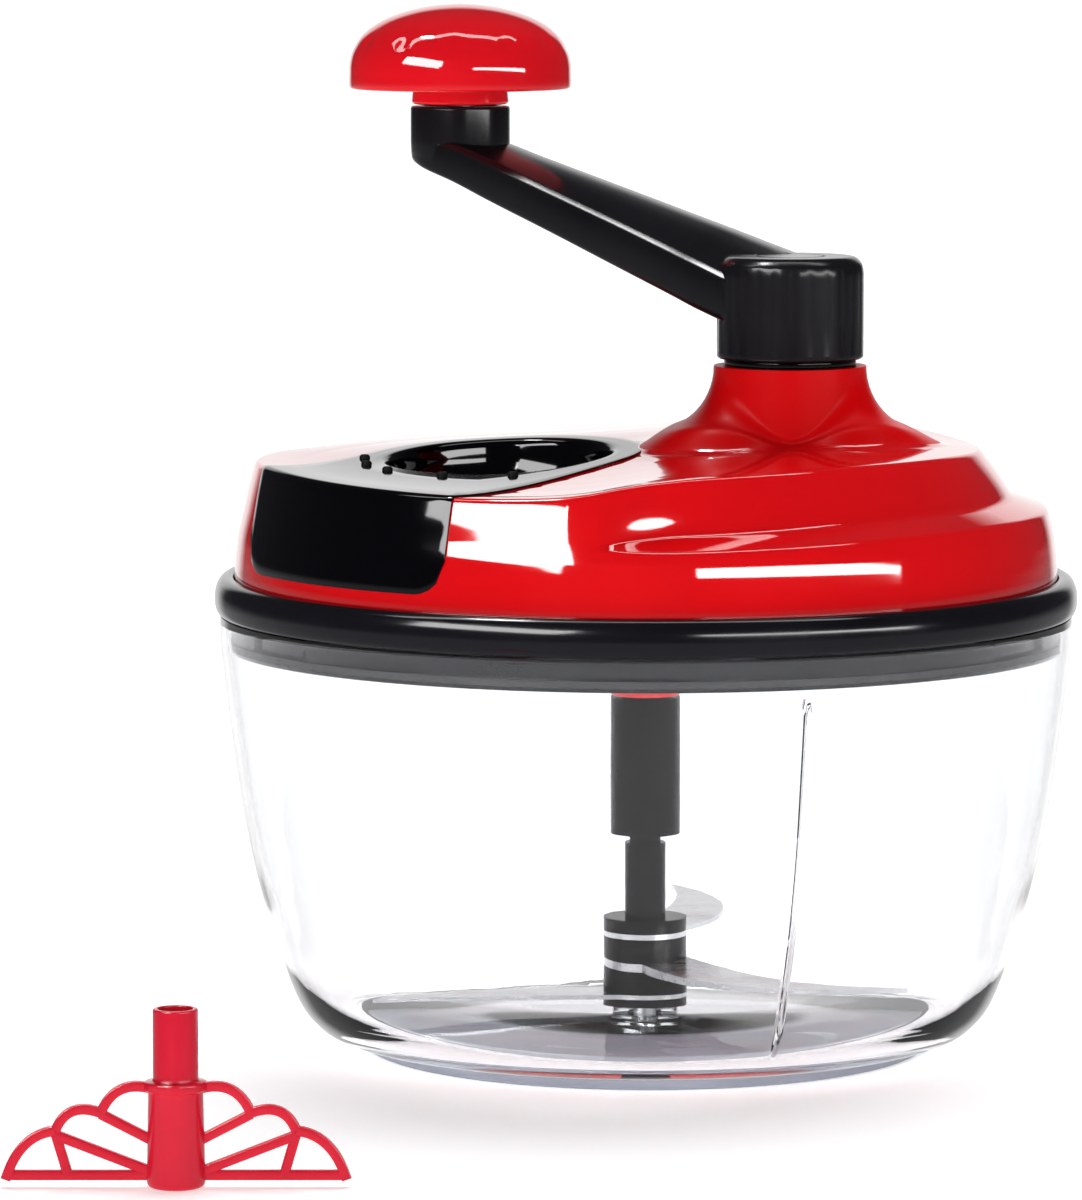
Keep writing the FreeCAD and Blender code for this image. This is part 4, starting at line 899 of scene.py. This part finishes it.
def makeWhisk(look):
    x, y = look["x"], look["y"]
    hub, neck, hubTop, bore = look["hub"], look["hubNeck"], look["hubTop"], look["bore"]
    collar, collarTop, tube, top = look["collar"], look["collarTop"], look["tube"], look["top"]
    shape = Shape()
    shape.lathe(bent(
        [(bore, 0.0), (hub, 0.0), (neck, hubTop), (collar, hubTop + 0.1), (collar, collarTop),
         (tube, collarTop + 0.2), (tube, top), (look["socket"], top), (look["socket"], look["socketFoot"]),
         (bore, hubTop), (bore, 0.0)],
        [0, 1.4, 0.3, 0.3, 0.4, 0.5, 0.4, 0.3, 0.2, 0.2, 0], 4), 72, (x, y))

    def bar(path, order):  # each bar's faces lie a little behind the ones before
        wide, deep = look["width"], look["depth"] - look["inset"] * order
        corners = [(-wide, -deep), (wide, -deep), (wide, deep), (-wide, deep), (-wide, -deep), (wide, -deep)]
        outline = rounded(flat(corners), [0, 0.35, 0.35, 0.35, 0.35, 0], 3)[1:-1]
        rings = []
        for index, (px, pz) in enumerate(path):
            before = path[max(index - 1, 0)]
            after = path[min(index + 1, len(path) - 1)]
            run = Vector((after[0] - before[0], 0, after[1] - before[1])).normalized()
            across = Vector((-run.z, 0, run.x))
            rings.append([Vector((x + px, y, pz)) + across * p.x + Vector((0, p.y, 0)) for p in outline])
        shape.band(rings)
        shape.cap(rings[0])
        shape.cap(rings[-1][::-1])

    for side in (-1, 1):
        for order, ((x0, z0), (x1, z1)) in enumerate(zip(look["scallops"], look["scallops"][1:])):
            path = []
            for step in range(look["scallopSteps"] + 1):
                share = step / look["scallopSteps"]
                swell = 4 * share * (1 - share) * look["bulge"]
                px = mixedNumber(x0, x1, share) + swell * look["lean"]
                pz = mixedNumber(z0, z1, share) + swell
                pull = 1 - look["width"] / math.hypot(px, pz)
                path.append((side * px * pull, max(pz * pull, look["width"] + 0.1)))
            bar(path, order)
        for order, ((x0, z0), (x1, z1)) in enumerate(look["struts"], len(look["scallops"]) - 1):
            shares = [step / look["strutSteps"] for step in range(look["strutSteps"] + 1)]
            bar([(side * mixedNumber(x0, x1, share), mixedNumber(z0, z1, share)) for share in shares], order)
    shape.made("whisk_lattice", [crimson], "whisk", ["whisk_paddle"], crease=45)


makeWhisk(whiskLook)
print("whisk made")


# the plain parts inside keep their own shape and get their finishes

innerFinishes = {
    "gear_cover_plate": redGloss, "skirt_seal": sealRubber, "plate_screws": hardwareSteel,
    "upper_bush": nylon, "lower_bush": nylon, "spindle_bush": nylon, "crank_shaft": hardwareSteel,
    "drive_gear": nylon, "shaft_clip": hardwareSteel, "crank_screw": hardwareSteel,
    "hub_cap": satinBlack, "knob_pin": hardwareSteel,
    "drive_spindle": columnBlack, "spindle_pinion": nylon, "pinion_screw": hardwareSteel,
    "pivot_pin": hardwareSteel, "blade_carrier": columnBlack, "lower_blade": bladeSteel,
    "middle_blade": bladeSteel, "upper_blade": bladeSteel,
}
for name, finish in innerFinishes.items():
    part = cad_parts[name]
    part.data.materials.clear()
    part.data.materials.append(finish)
    part.data.shade_smooth()
    part.data.set_sharp_from_angle(angle=math.radians(30))


# floor, lights and camera

studioLook = {
    "floor": (0.93, 0.93, 0.935), "floorGlow": 0.5, "floorSize": 60.0,
    "mottle": 0.995, "mottleScale": 6.0, "mottleRange": (0.3, 0.7),
    "sky": (1.0, 1.0, 1.0), "skyDark": (0.04, 0.04, 0.045), "skyLow": (0.4, 0.4, 0.41),
    "skyStrength": 1.05, "horizon": (-0.02, -0.14),  # the height over which the dark sky turns paler
    # a bright patch of sky straight behind the part: where it fades in sideways (squared), in depth and up
    "patchAside": (0.20, 0.10), "patchDepth": (0.45, 0.65), "patchHeight": (0.44, 0.34),
    "sun": (165.0, 62.0, 50.0, 2.6),  # azimuth, elevation, breadth in degrees, strength
    "cameraPlace": (-0.0226, -1.48, 0.255), "cameraPitch": 83.887, "lens": 206.7,
    # name: azimuth from the camera's side, elevation, distance, width, height, roll, power
    "lamps": {
        "window": (-43.5, 22.8, 1.5, 1.12, 0.36, -9.0, 20.0),
        "pane": (-21.3, 21.5, 1.5, 0.055, 0.26, -5.0, 0.8),
        "strip": (43.0, 10.5, 1.5, 1.7, 0.155, -5.0, 13.0),
        "top": (-90.0, 84.0, 1.5, 0.26, 2.4, 0.0, 12.0),
        "ridge": (-96.0, 69.0, 1.5, 0.22, 0.22, 0.0, 9.0),
    },
    "fill": (-12.0, 8.0, 3.0, 2.4, 1.8, 54.0),  # azimuth, elevation, distance, width, height, power
    "middle": (0, 0, 0.115),
}


def placed(name, data):
    holder = bpy.data.objects.new(name, data)
    bpy.context.scene.collection.objects.link(holder)
    return holder


def makeFloor(look):
    size = look["floorSize"]
    floor = bpy.data.meshes.new("floor")
    corners = [(-size, -size, 0), (size, -size, 0), (size, size, 0), (-size, size, 0)]
    floor.from_pydata(corners, [], [(0, 1, 2, 3)])
    material, finish = newMaterial("floorPaper")
    place = finish.add("ShaderNodeTexCoord", output="Object")
    tone = finish.clamped(finish.noise(place, look["mottleScale"]), *look["mottleRange"])
    colour = finish.mixed(tone, shade(look["floor"], look["mottle"]), shade(look["floor"], 1.0))
    paper = finish.add("ShaderNodeBsdfPrincipled", {}, {
        "Base Color": colour, "Roughness": 0.7, "IOR": 1.2, "Emission Color": look["floor"] + (1.0,),
        "Emission Strength": look["floorGlow"]})
    finish.add("ShaderNodeOutputMaterial", {}, {"Surface": paper})
    floor.materials.append(material)
    ground = placed("floor", floor)
    ground.visible_glossy = False


def makeSky(look):
    world = bpy.data.worlds.new("studio")
    world.use_nodes = True
    bpy.context.scene.world = world
    sky = Finish(world.node_tree)
    way = sky.add("ShaderNodeTexCoord", output="Generated")
    side, depth, height = [sky.add("ShaderNodeSeparateXYZ", {}, {0: way}, axis) for axis in range(3)]
    share = (sky.clamped(side * side, *look["patchAside"]) * sky.clamped(depth, *look["patchDepth"])
             * sky.clamped(height, *look["patchHeight"]))
    dip = sky.clamped(height, *look["horizon"])
    low = sky.mixed(dip, look["skyDark"] + (1.0,), look["skyLow"] + (1.0,))
    colour = sky.mixed(share, low, look["sky"] + (1.0,))
    light = sky.add("ShaderNodeBackground", {}, {"Color": colour, "Strength": look["skyStrength"]})
    sky.add("ShaderNodeOutputWorld", {}, {"Surface": light})


def makeLamp(name, data, azimuth, elevation, distance, roll=0.0):  # aimed at the middle of the part
    holder = placed(name, data)
    a, e = math.radians(azimuth), math.radians(elevation)
    out = Vector((math.sin(a) * math.cos(e), -math.cos(a) * math.cos(e), math.sin(e)))
    holder.location = Vector(studioLook["middle"]) + out * distance
    aim = out.to_track_quat("Z", "Y") @ Quaternion((0, 0, 1), math.radians(roll))
    holder.rotation_euler = aim.to_euler()
    return holder


def areaLamp(name, width, height, power):
    lamp = bpy.data.lights.new(name, "AREA")
    lamp.shape = "RECTANGLE"
    lamp.size, lamp.size_y = width, height
    lamp.energy = power
    return lamp


def makeStudio(look):
    makeFloor(look)
    makeSky(look)
    for name, (azimuth, elevation, distance, width, height, roll, power) in look["lamps"].items():
        lamp = makeLamp(name, areaLamp(name, width, height, power), azimuth, elevation, distance, roll)
        lamp.visible_diffuse = False
    azimuth, elevation, distance, width, height, power = look["fill"]
    fill = makeLamp("fill", areaLamp("fill", width, height, power), azimuth, elevation, distance)
    fill.visible_glossy = False
    fill.visible_transmission = False
    azimuth, elevation, breadth, strength = look["sun"]
    light = bpy.data.lights.new("sun", "SUN")
    light.energy = strength
    light.angle = math.radians(breadth)
    sun = makeLamp("sun", light, azimuth, elevation, 0.0)
    sun.visible_glossy = False
    camera = bpy.data.cameras.new("camera")
    camera.lens = look["lens"]
    camera.sensor_width = 36.0
    camera.clip_start = 0.05
    camera.clip_end = 200.0
    seat = placed("camera", camera)
    seat.location = look["cameraPlace"]
    seat.rotation_euler = (math.radians(look["cameraPitch"]), 0, 0)
    bpy.context.scene.camera = seat
    bpy.context.scene.view_settings.view_transform = "Standard"


makeStudio(studioLook)
print("studio made")
